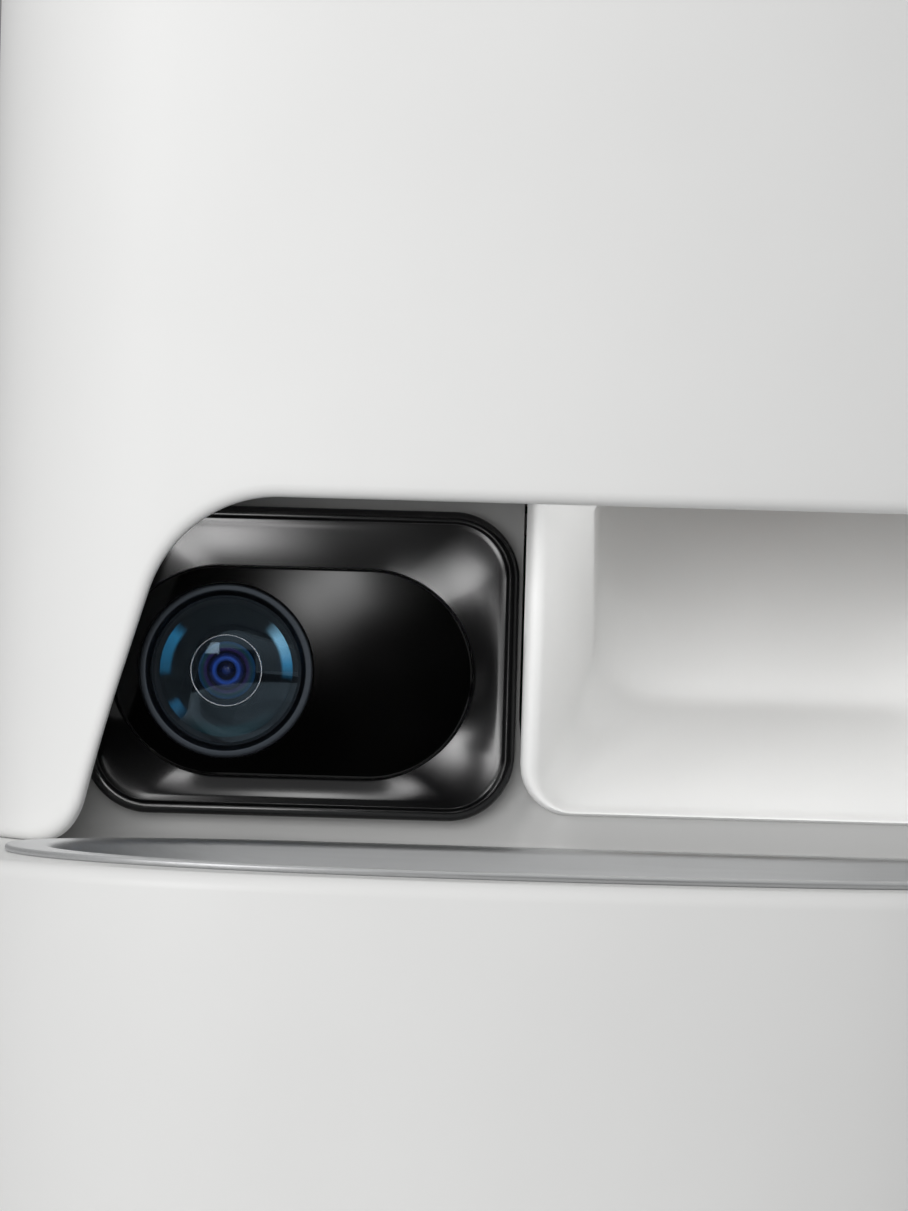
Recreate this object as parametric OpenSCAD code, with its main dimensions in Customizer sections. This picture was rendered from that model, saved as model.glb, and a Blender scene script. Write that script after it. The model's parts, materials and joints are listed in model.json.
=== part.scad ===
// Automatic pet feeder with a camera beside its food chute.
// The feeder stands on z = 0, its front faces -Y and its middle lies on x = 0.

/* [Overall] */
// Width over the base
feeder_w = 175; // [167:1:193]
// Depth over the base, front to back
feeder_d = 250; // [242:1:280]
// Height from the feet to the lid
feeder_h = 310; // [290:1:350]

/* [Base] */
// Height of the deck that the housing and the bowl stand on
base_h = 60; // [56:0.5:72]
// Wall of the base
base_wall = 2.6; // [2:0.1:3.4]
// Radius of the front of the base
base_front_r = 130; // [115:1:160]
// Radius of the front corners of the base
base_corner_r = 70; // [60:1:76]
// Radius of the rear corners of the base
base_rear_r = 51; // [44:1:58]
// Diameter of a rubber foot
foot_d = 16; // [12:0.5:20]
// How far a foot stands out of the bottom plate
foot_proud = 2; // [1:0.25:4]
// Thickness of the bottom plate
plate_t = 2.5; // [2:0.25:4]

/* [Bowl] */
// Distance of the bowl's edge from the outside of the base
bowl_inset = 10; // [8:0.5:13]
// Gap between the bowl's back edge and the wall of the niche
bowl_back_gap = 9; // [8:0.5:12]
// Inside depth of the bowl
bowl_depth = 26; // [18:0.5:30]
// Sheet thickness of the bowl
bowl_gauge = 0.9; // [0.6:0.1:1.5]
// Width of the bowl's flat flange
bowl_flange = 6; // [5:0.25:8]
// Steepness of the bowl's wall in degrees
bowl_slope = 46; // [42:1:48]
// Radius of the bowl's back corners
bowl_rear_r = 36; // [35:1:40]

/* [Housing] */
// Step between the base and the housing
body_inset = 1; // [0.5:0.25:2]
// Distance from the front of the base to the front of the housing
body_set_back = 78; // [74:1:84]
// Wall of the housing
body_wall = 2.6; // [2:0.1:3.4]
// Radius of the housing's front
body_front_r = 150; // [130:1:190]
// Radius of the housing's front corners
body_corner_r = 46; // [40:1:52]

/* [Niche] */
// Height of the niche above the deck
niche_h = 48.4; // [46:0.2:54]
// Width of the niche at the deck, before its feet flare out
niche_foot_w = 143.4; // [133:0.2:145]
// Lean of the niche's sides in degrees
niche_slant = 17.3; // [12:0.1:20]
// Radius of the niche's upper corners
niche_top_r = 19; // [14:0.5:24]
// Radius of the flare at the niche's feet
niche_foot_r = 9; // [5:0.5:10]
// Distance from the front of the base to the niche's back wall
panel_set_back = 120; // [118:0.5:124]
// Thickness of the niche's back wall
panel_t = 2.5; // [2:0.1:3]
// Height of the niche's ceiling above the deck
ceiling_h = 52; // [51:0.25:55]

/* [Camera] */
// Width of the camera bezel
bezel_w = 60; // [58:0.5:62]
// Height of the camera bezel
bezel_h = 43; // [41:0.5:44]
// Sideways place of the bezel's middle
bezel_x = -41; // [-42:0.25:-40.5]
// Height of the bezel's lower edge above the deck
bezel_lift = 4; // [3:0.25:5]
// Corner radius of the bezel
bezel_r = 9.3; // [7:0.1:12]
// How far the bezel stands out of the niche's back wall
bezel_proud = 4.5; // [4:0.25:6]
// Width of the bezel's raised rim
bezel_rim = 1.7; // [1.2:0.1:2.2]
// Depth of the bezel's face behind its rim
bezel_dish = 0.8; // [0.4:0.1:1]
// Width of the gloss window
window_w = 50; // [46:0.5:52]
// Height of the gloss window
window_h = 29; // [27:0.5:31]
// Sideways shift of the window from the bezel's middle
window_dx = -1.1; // [-1.5:0.1:0]
// Height shift of the window from the bezel's middle
window_dz = -1.4; // [-2:0.1:0]
// Sideways shift of the lens from the bezel's middle
lens_dx = -10.4; // [-11:0.1:-9]
// Diameter of the ring round the lens
lens_ring_d = 24.4; // [22:0.2:25.4]
// Diameter of the glass dome
lens_dome_d = 20.8; // [18.4:0.2:21.4]
// Height of the glass dome
lens_dome_h = 3.2; // [2.6:0.1:4]
// Diameter of the bright ring round the front element
lens_trim_d = 10.2; // [8:0.2:12]

/* [Chute] */
// Sideways place of the chute's middle
chute_x = 24.2; // [23.5:0.1:25.5]
// Width over the chute's rim
chute_w = 68.6; // [66:0.2:70]
// Height of the chute's lower edge above the deck
chute_lift = 5.3; // [4:0.1:7]
// Width of the chute's rim
chute_wall = 2.5; // [2:0.1:3]
// How far the chute's rim stands out of the niche's back wall
chute_proud = 6; // [4:0.25:7]
// Radius of the chute's corners
chute_r = 7; // [5:0.25:9]
// Depth of the sloping floor
ramp_run = 33; // [28:0.5:36]
// Rise of the sloping floor
ramp_rise = 15; // [12:0.5:18]
// How far the chute's sides draw in towards the back
chute_draw = 6.5; // [4:0.5:8]

/* [Hopper] */
// Height of the hopper's underside above the deck
outlet_h = 58; // [57:0.5:64]
// Wall of the hopper
hopper_wall = 2; // [1.6:0.1:2.6]
// Thickness of the hopper's floor
hopper_floor = 3; // [2.5:0.25:4]
// Depth of the service duct behind the hopper
duct_d = 33.4; // [32:0.2:38]
// Radius of the pocket that the portion wheel turns in
pocket_r = 56; // [52:0.5:58]
// Height of the pocket
pocket_h = 25; // [20:0.5:30]
// Slope of the funnel in degrees
funnel_slope = 40; // [34:1:44]

/* [Portion wheel] */
// Sideways place of the wheel's axis
wheel_x = -18; // [-20:0.25:-17.5]
// Front-to-back place of the wheel's axis
wheel_y = 25; // [24:0.5:27]
// Number of vanes
vane_count = 6; // [4:1:8]
// Thickness of a vane
vane_t = 2.4; // [1.6:0.2:3.2]
// Radius of the wheel's hub
hub_r = 9; // [7.5:0.5:11]
// Radius of the wheel's shaft
shaft_r = 4; // [3:0.25:5]
// Radial clearance of a shaft or pin in its bore
run_clear = 0.05; // [0.03:0.01:0.08]

/* [Drive] */
// Module of the gear teeth
gear_module = 0.9; // [0.9:0.05:1.05]
// Teeth of the wheel's gear
wheel_teeth = 30; // [28:2:32]
// Teeth of the motor's pinion
pinion_teeth = 12; // [12:2:16]
// Width of the gears
gear_face = 6; // [4:0.5:7]
// Direction from the wheel's axis to the motor in degrees
mesh_angle = 150; // [140:1:160]
// Radius of the motor
motor_r = 12.5; // [10:0.5:13.5]
// Length of the motor
motor_l = 36; // [28:1:38]

/* [Lid] */
// Height of the lid and of the rear deck
cap_h = 24; // [22:0.5:28]
// Wall of the lid and of the rear deck
cap_wall = 2.4; // [2:0.1:3]
// Rounding of the lid's upper edge
cap_round = 8; // [4:0.5:9]
// Depth of the fixed rear deck
deck_d = 30; // [29:0.5:33]
// Gap between the lid and the rear deck
lid_gap = 2; // [1.5:0.1:3]
// Gap between the lid and the housing
lid_lift = 0.8; // [0.5:0.1:1.2]
// Distance of the hinge axis behind the deck's front edge
hinge_in = 10; // [9.5:0.25:11]
// Depth of the hinge axis below the lid's top
hinge_drop = 5.5; // [5:0.1:6]
// Radius of a hinge knuckle
knuckle_r = 4.5; // [3.5:0.1:4.8]
// Width of a hinge knuckle
knuckle_w = 15; // [10:0.5:18]
// Distance of a knuckle's middle from the feeder's middle
hinge_x = 46; // [40:0.5:48]
// Radius of a hinge pin
pin_r = 2; // [1.5:0.1:2.5]
// Radius of the drying-agent cup
cup_r = 28; // [22:0.5:32]
// Depth of the drying-agent cup
cup_h = 15; // [10:0.5:18]

/* [Controls] */
// Radius of the hand feed button
feed_r = 7.7; // [6:0.1:9]
// Travel of the hand feed button
feed_travel = 1.5; // [1:0.1:2]
// Radius of the reset button
reset_r = 2.9; // [2.2:0.1:3.4]
// Travel of the reset button
reset_travel = 1; // [0.6:0.1:1.2]
// Radius of the supply socket's nose
jack_r = 4.6; // [4:0.1:5.5]
// Radius of the supply socket's bore
jack_bore_r = 2.8; // [2.5:0.1:3.2]
// Radius of the speaker
speaker_r = 13; // [10:0.5:14]

/* [Batteries] */
// Radius of a battery cell
cell_r = 17.1; // [16:0.1:17.1]
// Length of a battery cell
cell_l = 61.5; // [58:0.5:61.5]
// Distance between the cells' axes
cell_pitch = 36; // [35.5:0.25:37]

/* [Hidden] */
$fn = 96;

// Degrees between the points of an outline's arcs
arc_step = 4.5;

// Clearances: e passes a cut through a face, fit is a seat between fixed pieces, gap is a loose fit
e = 1;
fit = 0.1;
gap = 0.3;

// A plan is [half width, front y, rear y, front radius, front corner radius, rear corner radius]
base_plan = [feeder_w / 2, -feeder_d / 2, feeder_d / 2, base_front_r, base_corner_r, base_rear_r];
panel_y = -feeder_d / 2 + panel_set_back;
// The bowl's front corners are limited so that its sides stay straight down to the floor
bowl_half = feeder_w / 2 - bowl_inset;
bowl_front = -feeder_d / 2 + bowl_inset;
bowl_back = panel_y - bowl_back_gap;
bowl_front_r = base_front_r - bowl_inset;
bowl_in = bowl_flange + (bowl_depth - bowl_gauge) / tan(bowl_slope) + bowl_gauge / sin(bowl_slope);
bowl_turn = bowl_front + bowl_front_r - bowl_back + bowl_rear_r;
bowl_corner_max = bowl_in - gap + (pow(bowl_front_r - bowl_in, 2) - pow(bowl_half - bowl_in, 2)
  - pow(bowl_turn, 2)) / (2 * (bowl_front_r - bowl_half));
bowl_plan = [bowl_half, bowl_front, bowl_back, bowl_front_r, min(base_corner_r - bowl_inset, bowl_corner_max),
  bowl_rear_r];
body_plan = [feeder_w / 2 - body_inset, -feeder_d / 2 + body_set_back, feeder_d / 2 - body_inset,
  body_front_r, body_corner_r, base_rear_r - body_inset];

// Heights
plate_z = foot_proud;
plate_top = plate_z + plate_t;
deck_t = base_wall;
body_top = feeder_h - cap_h;
ceiling_z = base_h + ceiling_h;
floor_z = base_h + outlet_h;
pocket_z = floor_z + hopper_floor;
funnel_z = pocket_z + pocket_h;

// Housing and hopper
inner_plan = inset(body_plan, body_wall);
hopper_gap = 2.4;
hopper_rear = inner_plan[2] - duct_d;
hopper_rear_r = 12;
hopper_in = inset(inner_plan, hopper_gap);
hopper_plan = [hopper_in[0], hopper_in[1], hopper_rear, hopper_in[3], hopper_in[4], hopper_rear_r];
ledge_w = 2;
ledge_t = 3;
flange_in = inset(inner_plan, gap);
flange_plan = [flange_in[0], flange_in[1], hopper_rear + 2, flange_in[3], flange_in[4], hopper_rear_r];
flange_t = 4;
ledge_z = body_top - flange_t;

// Bowl
tub_clear = 1;
tub_wall = 2;
tub_below = 5;
tub_z = base_h - bowl_depth - tub_below;

// Screws
screw_r = 1.4;
screw_head_r = 2.8;
screw_head_t = 1.8;
screw_l = 10;
pilot_l = 12;
boss_r = 4;
base_front_screw = [base_plan[0] - 10, base_plan[1] + 55];
base_mid_screw = [base_plan[0] - 14, 2];
base_rear_screw = [base_plan[0] - 14, base_plan[2] - 60];
base_screw_spots = [base_front_screw, base_mid_screw, base_rear_screw];
rear_corner = [body_plan[0] - body_plan[5], body_plan[2] - body_plan[5]];
body_boss_reach = body_plan[5] - body_wall - boss_r + 1;
body_rear_screw = rear_corner + body_boss_reach * [cos(45), sin(45)];
body_side_screw = [inner_plan[0] - boss_r + 1, 20];
body_screw_spots = [body_side_screw, body_rear_screw];
body_boss_h = 22;

// Batteries
cell_count = 3;
tray_wall = 2;
contact_t = 1.5;
tray_l = cell_l + 2 * (contact_t + tray_wall + gap);
tray_w = (cell_count - 1) * cell_pitch + 2 * (cell_r + gap + tray_wall);
tray_y = feeder_d / 2 - base_wall - 18 - tray_l;
cell_z = plate_top + cell_r + gap;
tray_h = 2 * cell_r + 2 * gap + tray_wall;
door_w = tray_w - 8;
door_l = tray_l - 8;
door_y = tray_y + 4;
door_gap = 0.5;
door_pin_r = 0.9;
door_lug_r = 1.9;
door_lug_w = 10;
door_lug_x = cell_pitch / 2;
door_ear_w = 5;
door_axis = [door_y + door_l - door_lug_r - door_gap, plate_z + plate_t / 2];

// Feet: the rear pair stands beside the battery door
foot_clear = 2.7;
foot_front = [base_plan[0] - 22, base_plan[1] + 47];
foot_places = [foot_front, [door_w / 2 + foot_d / 2 + foot_clear, base_plan[2] - 45]];

// Camera
bezel_z = base_h + bezel_lift + bezel_h / 2;
bezel_y = panel_y - bezel_proud;
gasket_t = 0.8;
face_y = bezel_y + bezel_dish;
window_x = bezel_x + window_dx;
window_z = bezel_z + window_dz;
window_y = face_y - 0.3;
window_t = 1.8;
lens_x = bezel_x + lens_dx;
ring_y = window_y - 1.2;
dome_y = ring_y + 0.8;
dome_t = 1.2;
dome_r = (pow(lens_dome_d / 2, 2) + pow(lens_dome_h, 2)) / (2 * lens_dome_h);
barrel_y = dome_y + 1.2;
barrel_r = lens_dome_d / 2 - 2.2;
element_h = 1.3;
barrel_seat = 3;
case_wall = 1.6;
case_in = 3.5;
case_w = bezel_w - 2 * case_in - 2;
case_h = bezel_h - 2 * case_in - 2;
case_r = 3;
case_y = panel_y + panel_t;
case_d = 14;
board_t = 1.6;
board_y = case_y + 7;

// Chute
chute_z = base_h + chute_lift;
chute_top = ceiling_z - 0.5;
chute_front = panel_y - chute_proud;
chute_left = chute_x - chute_w / 2;
chute_right = chute_x + chute_w / 2;
ramp_z = chute_z + 0.8;
ramp_y0 = chute_front + 2;
ramp_y1 = ramp_y0 + ramp_run;
ramp_top = ramp_z + ramp_rise;
back_y = 50;
mouth_y = panel_y + panel_t + 3;
mouth_z = chute_top - chute_wall;
skin = 2;

// Drive
mesh_gap = 0.1;
centre_dist = gear_module * (wheel_teeth + pinion_teeth) / 2 + mesh_gap;
pinion_x = wheel_x + centre_dist * cos(mesh_angle);
pinion_y = wheel_y + centre_dist * sin(mesh_angle);
gear_top = floor_z - 4;
gear_z = gear_top - gear_face;
drive_t = 3;
drive_top = gear_z - 1;
drive_z = drive_top - drive_t;
motor_shaft_r = 1.5;
wheel_foot = pocket_z + 0.5;
wheel_h = pocket_h - 1.5;
vane_gap = 1.5;
outlet_in = 22;
outlet_out = 52;
outlet_half = 28;
post_r = 3.5;
post_reach = gear_module * (wheel_teeth / 2 + 1) + post_r + e;
drive_posts = [[pinion_x - motor_r - 5, pinion_y + 6], [wheel_x - 2, wheel_y + post_reach + e],
  [wheel_x, wheel_y] + post_reach * [cos(200), sin(200)]];
post_screw_in = 1.8;

// Lid and rear deck
deck_front = body_plan[2] - deck_d;
lid_rear = deck_front - lid_gap;
hinge_y = deck_front + hinge_in;
hinge_z = feeder_h - hinge_drop;
cap_z = body_top + lid_lift;
liner_t = 2;
liner_z = body_top + 2.4;
plug_gap = 4;
seal_in = 0.7;
seal_w = 3;
plug_h = 8;
plug_wall = 2;
cup_y = 20;
cup_wall = 2;
cap_disc_t = 2.5;
slot_side = 0.5;
slot_back = 0.9;
ear_t = 4;

// Controls and electronics
feed_x = 0;
feed_y = hinge_y + 4;
feed_flange = 1.8;
feed_flange_t = 1.6;
feed_top = feeder_h - 0.4;
button_board_t = 1.6;
switch_h = 3.2;
feed_foot = feeder_h - cap_wall - gap - feed_flange_t;
button_board_z = feed_foot - feed_travel - gap - switch_h - button_board_t;
light_x = 16;
light_r = 1.6;
rear_y = body_plan[2];
rear_in = inner_plan[2];
control_z = base_h + 14;
jack_x = -16;
reset_x = 2;
speaker_x = 18;
speaker_z = base_h + 62;
speaker_t = 5;
main_t = 1.6;
main_y = rear_in - 9;
main_w = 44;
main_h = 80;
main_x = -32;
main_z = base_h + 5;
main_post_r = 2.6;
main_post_in = 4;

// Plans and sweeps
function inset(d, t) = [d[0] - t, d[1] + t, d[2] - t, d[3] - t, d[4] - t, d[5] - t];
function arc_y(d) = d[1] + d[3];
function corner_x(d) = d[0] - d[4];
function corner_y(d) = arc_y(d) - sqrt(pow(d[3] - d[4], 2) - pow(corner_x(d), 2));
function arc_half(d) = asin(corner_x(d) / (d[3] - d[4]));

// Slice of a disc between two directions
module sector(r, a0, a1) {
  reach = 3 * r;
  mid = (a0 + a1) / 2;
  intersection() {
    circle(r);
    polygon([[0, 0], reach * [cos(a0), sin(a0)], reach * [cos(mid), sin(mid)], reach * [cos(a1), sin(a1)]]);
  }
}

// Points of an arc; first and last skip that many points at its ends
function arc_points(c, r, a0, a1, first = 0, last = 0) = let (n = ceil((a1 - a0) / arc_step))
  [for (k = [first:n - last]) let (a = a0 + (a1 - a0) * k / n) [c[0] + r * cos(a), c[1] + r * sin(a)]];

// Outline of the rounded D seen from above
function d_points(d) =
  let (aim = arc_half(d), cx = corner_x(d), cy = corner_y(d), rx = d[0] - d[5], ry = d[2] - d[5])
  concat(arc_points([cx, cy], d[4], -90 + aim, 0), arc_points([rx, ry], d[5], 0, 90),
    arc_points([-rx, ry], d[5], 90, 180), arc_points([-cx, cy], d[4], 180, 270 - aim),
    arc_points([0, arc_y(d)], d[3], -90 - aim, -90 + aim, 1, 1));

module d_prism(d, z0, z1) {
  translate([0, 0, z0]) linear_extrude(z1 - z0) polygon(d_points(d));
}

module d_ring(outer, inner, z0, z1) {
  difference() {
    d_prism(outer, z0, z1);
    d_prism(inner, z0 - e, z1 + e);
  }
}

// Solid through the D's outline at several levels, each [distance inwards, height]
module d_stack(d, levels) {
  rings = [for (l = levels) d_points(inset(d, l[0]))];
  n = len(rings[0]);
  last = len(levels) - 1;
  points = [for (j = [0:last], p = rings[j]) [p[0], p[1], levels[j][1]]];
  sides = [for (j = [0:last - 1], k = [0:n - 1]) let (next = (k + 1) % n)
    [j * n + k, (j + 1) * n + k, (j + 1) * n + next, j * n + next]];
  polyhedron(points, concat([[for (k = [0:n - 1]) k], [for (k = [n - 1:-1:0]) last * n + k]], sides));
}

// Levels of a slab whose upper edge is rounded
function round_levels(z0, z1, r) =
  concat([[0, z0]], [for (a = [0:18:90]) [r - r * cos(a), z1 - r + r * sin(a)]]);

// Rounded rectangle in the xz plane, carried from y0 to y1
module face_plate(x, z, w, h, r, y0, y1) {
  translate([x, y1, z]) rotate([90, 0, 0]) linear_extrude(y1 - y0) {
    square([w - 2 * r, h], center = true);
    square([w, h - 2 * r], center = true);
    for (sx = [-1, 1], sz = [-1, 1]) translate([sx * (w / 2 - r), sz * (h / 2 - r)]) circle(r);
  }
}

// Stadium in the xz plane, carried from y0 to y1
module stadium(x, z, w, h, y0, y1) {
  translate([x, y1, z]) rotate([90, 0, 0]) linear_extrude(y1 - y0) {
    square([w - h, h], center = true);
    for (s = [-1, 1]) translate([s * (w - h) / 2, 0]) circle(h / 2);
  }
}

module rod_y(x, z, r, y0, y1) {
  translate([x, y1, z]) rotate([90, 0, 0]) cylinder(r = r, h = y1 - y0);
}

module rod_z(p, r, z0, z1) {
  translate([p[0], p[1], z0]) cylinder(r = r, h = z1 - z0);
}

module rod_x(y, z, r, x0, x1) {
  translate([x0, y, z]) rotate([0, 90, 0]) cylinder(r = r, h = x1 - x0);
}

module block(p0, p1) {
  translate(p0) cube(p1 - p0);
}

// Draws its children on both sides of the middle
module both_sides() {
  children();
  mirror([1, 0, 0]) children();
}

// Involute gear in plan, a tooth centred on the x axis
function involute(base_r, a) = base_r * [cos(a) + a * PI / 180 * sin(a), sin(a) - a * PI / 180 * cos(a)];
function polar(p) = [norm(p), atan2(p[1], p[0])];
module gear_plan(teeth, slack) {
  pressure = 25;
  pitch_r = gear_module * teeth / 2;
  base_r = pitch_r * cos(pressure);
  tip_r = pitch_r + 0.92 * gear_module;
  root_r = pitch_r - 1.2 * gear_module;
  tip_a = sqrt(pow(tip_r / base_r, 2) - 1) * 180 / PI;
  pitch_a = sqrt(pow(pitch_r / base_r, 2) - 1) * 180 / PI;
  half_tooth = 90 / teeth - slack / pitch_r * 90 / PI + polar(involute(base_r, pitch_a))[1];
  steps = 4;
  flank = [for (k = [0:steps]) polar(involute(base_r, tip_a * k / steps))];
  one = concat([[root_r, half_tooth]], [for (f = flank) [f[0], half_tooth - f[1]]],
    [for (k = [steps:-1:0]) [flank[k][0], flank[k][1] - half_tooth]], [[root_r, -half_tooth]]);
  polygon([for (t = [teeth - 1:-1:0], p = one) let (a = p[1] + 360 / teeth * t) p[0] * [cos(a), sin(a)]]);
}

// Base
module base_screw_holes(r, z0, z1) {
  both_sides() for (p = base_screw_spots) rod_z(p, r, z0, z1);
}

module base_shell() {
  tub_plan = inset(bowl_plan, bowl_flange - tub_clear);
  color("#f2f2f1") difference() {
    union() {
      d_ring(base_plan, inset(base_plan, base_wall), plate_z, base_h - deck_t / 2);
      d_ring(inset(base_plan, base_wall / 2), tub_plan, base_h - deck_t, base_h);
      d_ring(inset(tub_plan, -tub_wall), tub_plan, tub_z, base_h - deck_t / 2);
      d_prism(inset(tub_plan, -tub_wall / 2), tub_z, tub_z + tub_wall);
      base_screw_holes(boss_r, plate_top, base_h - deck_t / 2);
    }
    base_screw_holes(screw_r + run_clear, plate_top - e, plate_top + pilot_l);
    both_sides() for (p = body_screw_spots) rod_z(p, screw_r + gap, base_h - deck_t - e, base_h + e);
  }
}

module foot_spots() {
  both_sides() for (p = foot_places) translate(p) children();
}

// Places of the bottom plate's hinge ears, on both sides of each lug of the battery door
module door_ears(grow) {
  for (s = [-1, 1], t = [-1, 1]) {
    x = s * door_lug_x + t * (door_lug_w / 2 + door_gap + door_ear_w / 2);
    translate([x - door_ear_w / 2 - grow, 0, 0]) children();
  }
}

module base_plate() {
  color("#dcdcda") difference() {
    union() {
      difference() {
        d_prism(inset(base_plan, base_wall + gap), plate_z, plate_top);
        block([-door_w / 2, door_y, plate_z - e], [door_w / 2, door_y + door_l, plate_top + e]);
      }
      door_ears(0) {
        rod_x(door_axis[0], door_axis[1], door_lug_r, 0, door_ear_w);
        block([0, door_axis[0], plate_z], [door_ear_w, door_y + door_l + e, plate_top]);
      }
    }
    door_ears(0) rod_x(door_axis[0], door_axis[1], door_pin_r + run_clear, -e, door_ear_w + e);
    base_screw_holes(screw_r + gap, plate_z - e, plate_top + e);
    base_screw_holes(screw_head_r + gap, plate_z - e, plate_z + plate_t / 2);
    foot_spots() translate([0, 0, plate_z - e]) cylinder(r = foot_d / 2 + fit, h = e + plate_t / 2);
  }
}

module base_screws() {
  color("#b8bbbf") {
    base_screw_holes(screw_r, plate_z + plate_t / 2, plate_top + screw_l);
    base_screw_holes(screw_head_r, plate_z + plate_t / 2 - screw_head_t + 1, plate_z + plate_t / 2);
  }
}

module rubber_feet() {
  color("#c9c9c7") foot_spots() cylinder(r = foot_d / 2, h = plate_z + plate_t / 2);
}

// Batteries
module cell_spots() {
  for (k = [0:cell_count - 1]) translate([(k - (cell_count - 1) / 2) * cell_pitch, 0, 0]) children();
}

module battery_tray() {
  y1 = tray_y + tray_l;
  top = plate_top + tray_h;
  rib = 4;
  color("#e4e4e2") difference() {
    block([-tray_w / 2, tray_y, plate_top], [tray_w / 2, y1, top]);
    difference() {
      block([-tray_w / 2 + tray_wall, tray_y + tray_wall, plate_top - e],
        [tray_w / 2 - tray_wall, y1 - tray_wall, top - tray_wall]);
      for (y = [tray_y + 0.3 * tray_l, tray_y + 0.7 * tray_l]) difference() {
        block([-tray_w / 2, y - rib / 2, cell_z + cell_r / 3], [tray_w / 2, y + rib / 2, top]);
        cell_spots() rod_y(0, cell_z, cell_r + gap, y - rib, y + rib);
      }
    }
  }
}

module battery_cells() {
  y0 = tray_y + tray_wall + contact_t + gap;
  color("#3d5a80") cell_spots() {
    rod_y(0, cell_z, cell_r, y0 + 1, y0 + cell_l - 1.5);
    rod_y(0, cell_z, cell_r * 0.62, y0, y0 + 1 + e);
    rod_y(0, cell_z, cell_r * 0.28, y0 + cell_l - 1.5 - e, y0 + cell_l);
  }
}

module battery_contacts() {
  half = cell_r * 0.5;
  color("#c8a86a") for (y = [tray_y + tray_wall, tray_y + tray_l - tray_wall - contact_t]) cell_spots()
    block([-half, y, cell_z - half], [half, y + contact_t, cell_z + half]);
}

// The door's lugs turn between the ears of the bottom plate
module battery_door() {
  y0 = door_y + door_gap;
  color("#dcdcda") difference() {
    union() {
      difference() {
        block([-door_w / 2 + door_gap, y0, plate_z], [door_w / 2 - door_gap, door_axis[0], plate_top]);
        door_ears(gap) block([0, door_axis[0] - door_lug_r - door_gap, plate_z - e],
          [door_ear_w + 2 * gap, door_axis[0] + e, plate_top + e]);
      }
      for (s = [-1, 1]) translate([s * door_lug_x, 0, 0])
        rod_x(door_axis[0], door_axis[1], door_lug_r, -door_lug_w / 2, door_lug_w / 2);
    }
    rod_x(door_axis[0], door_axis[1], door_pin_r + run_clear, -door_w, door_w);
    block([-12, y0 + 4, plate_z - e], [12, y0 + 8, plate_z + plate_t / 2]);
  }
}

module door_pin() {
  reach = door_lug_w / 2 + door_gap + door_ear_w;
  color("#b8bbbf") for (s = [-1, 1])
    rod_x(door_axis[0], door_axis[1], door_pin_r, s * door_lug_x - reach, s * door_lug_x + reach);
}

// Housing
module niche_shape() {
  half_foot = niche_foot_w / 2;
  half_top = half_foot - niche_h * tan(niche_slant);
  draw = tan((90 - niche_slant) / 2);
  top_x = half_top - niche_top_r * draw;
  foot_x = half_foot + niche_foot_r * draw;
  turn = 90 - niche_slant;
  step = turn / 9;
  top = [for (a = [0:9]) [top_x, niche_h - niche_top_r] + niche_top_r * [sin(step * a), cos(step * a)]];
  foot = [for (a = [9:-1:0]) [foot_x, niche_foot_r] - niche_foot_r * [sin(step * a), cos(step * a)]];
  right = concat(top, foot, [[foot_x, -e]]);
  left = [for (k = [len(right) - 1:-1:0]) [-right[k][0], right[k][1]]];
  polygon(concat(right, left));
}

module board_spots() {
  for (x = [main_post_in, main_w - main_post_in], z = [main_post_in, main_h - main_post_in])
    translate([main_x + x, 0, main_z + z]) children();
}

module grille_holes() {
  hole_r = 1.1;
  for (ring = [0:3], k = [0:max(0, 6 * ring - 1)]) {
    a = ring == 0 ? 0 : 360 / (6 * ring) * k;
    rod_y(speaker_x + 3 * ring * cos(a), speaker_z + 3 * ring * sin(a), hole_r, rear_in - e, rear_y + e);
  }
}

module body_shell() {
  color("#f4f4f3") difference() {
    union() {
      d_ring(body_plan, inner_plan, base_h, body_top);
      d_ring(inset(body_plan, body_wall / 2), inset(inner_plan, ledge_w), ledge_z - ledge_t, ledge_z);
      both_sides() for (p = body_screw_spots) rod_z(p, boss_r, base_h, base_h + body_boss_h);
      board_spots() rod_y(0, 0, main_post_r, main_y + main_t, rear_in + body_wall / 2);
    }
    translate([0, panel_y, base_h]) rotate([90, 0, 0]) linear_extrude(body_set_back) niche_shape();
    both_sides() for (p = body_screw_spots) rod_z(p, screw_r + run_clear, base_h - e, base_h + pilot_l);
    board_spots() rod_y(0, 0, screw_r + run_clear, main_y + main_t - e, rear_in);
    rod_y(jack_x, control_z, jack_r + gap, rear_in - e, rear_y + e);
    rod_y(reset_x, control_z, reset_r + gap, rear_in - e, rear_y + e);
    grille_holes();
  }
}

module body_screws() {
  color("#b8bbbf") both_sides() for (p = body_screw_spots) {
    rod_z(p, screw_r, base_h - deck_t, base_h + screw_l);
    rod_z(p, screw_head_r, base_h - deck_t - screw_head_t, base_h - deck_t);
  }
}

module niche_liner() {
  side_x = niche_foot_w / 2 + 5;
  back = panel_y + panel_t;
  front = body_plan[1];
  room = inset(inner_plan, gap);
  color("#d9d9d8") difference() {
    intersection() {
      d_prism(room, base_h, ceiling_z + panel_t);
      union() {
        block([-feeder_w, panel_y, base_h], [feeder_w, back, ceiling_z + panel_t]);
        block([-feeder_w, front, ceiling_z], [feeder_w, back, ceiling_z + panel_t]);
        both_sides() block([side_x, front, base_h], [side_x + panel_t, back, ceiling_z + panel_t]);
      }
    }
    face_plate(bezel_x, bezel_z, bezel_w - 2 * case_in, bezel_h - 2 * case_in, bezel_r - case_in,
      panel_y - e, back + e);
    chute_face(gap, panel_y - e, back + e);
  }
}

// Bowl
// Level of the bowl's wall at a height, moved inwards by a distance
function wall_level(z, inwards) = [bowl_flange + (base_h - z) / tan(bowl_slope) + inwards, z];

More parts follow.
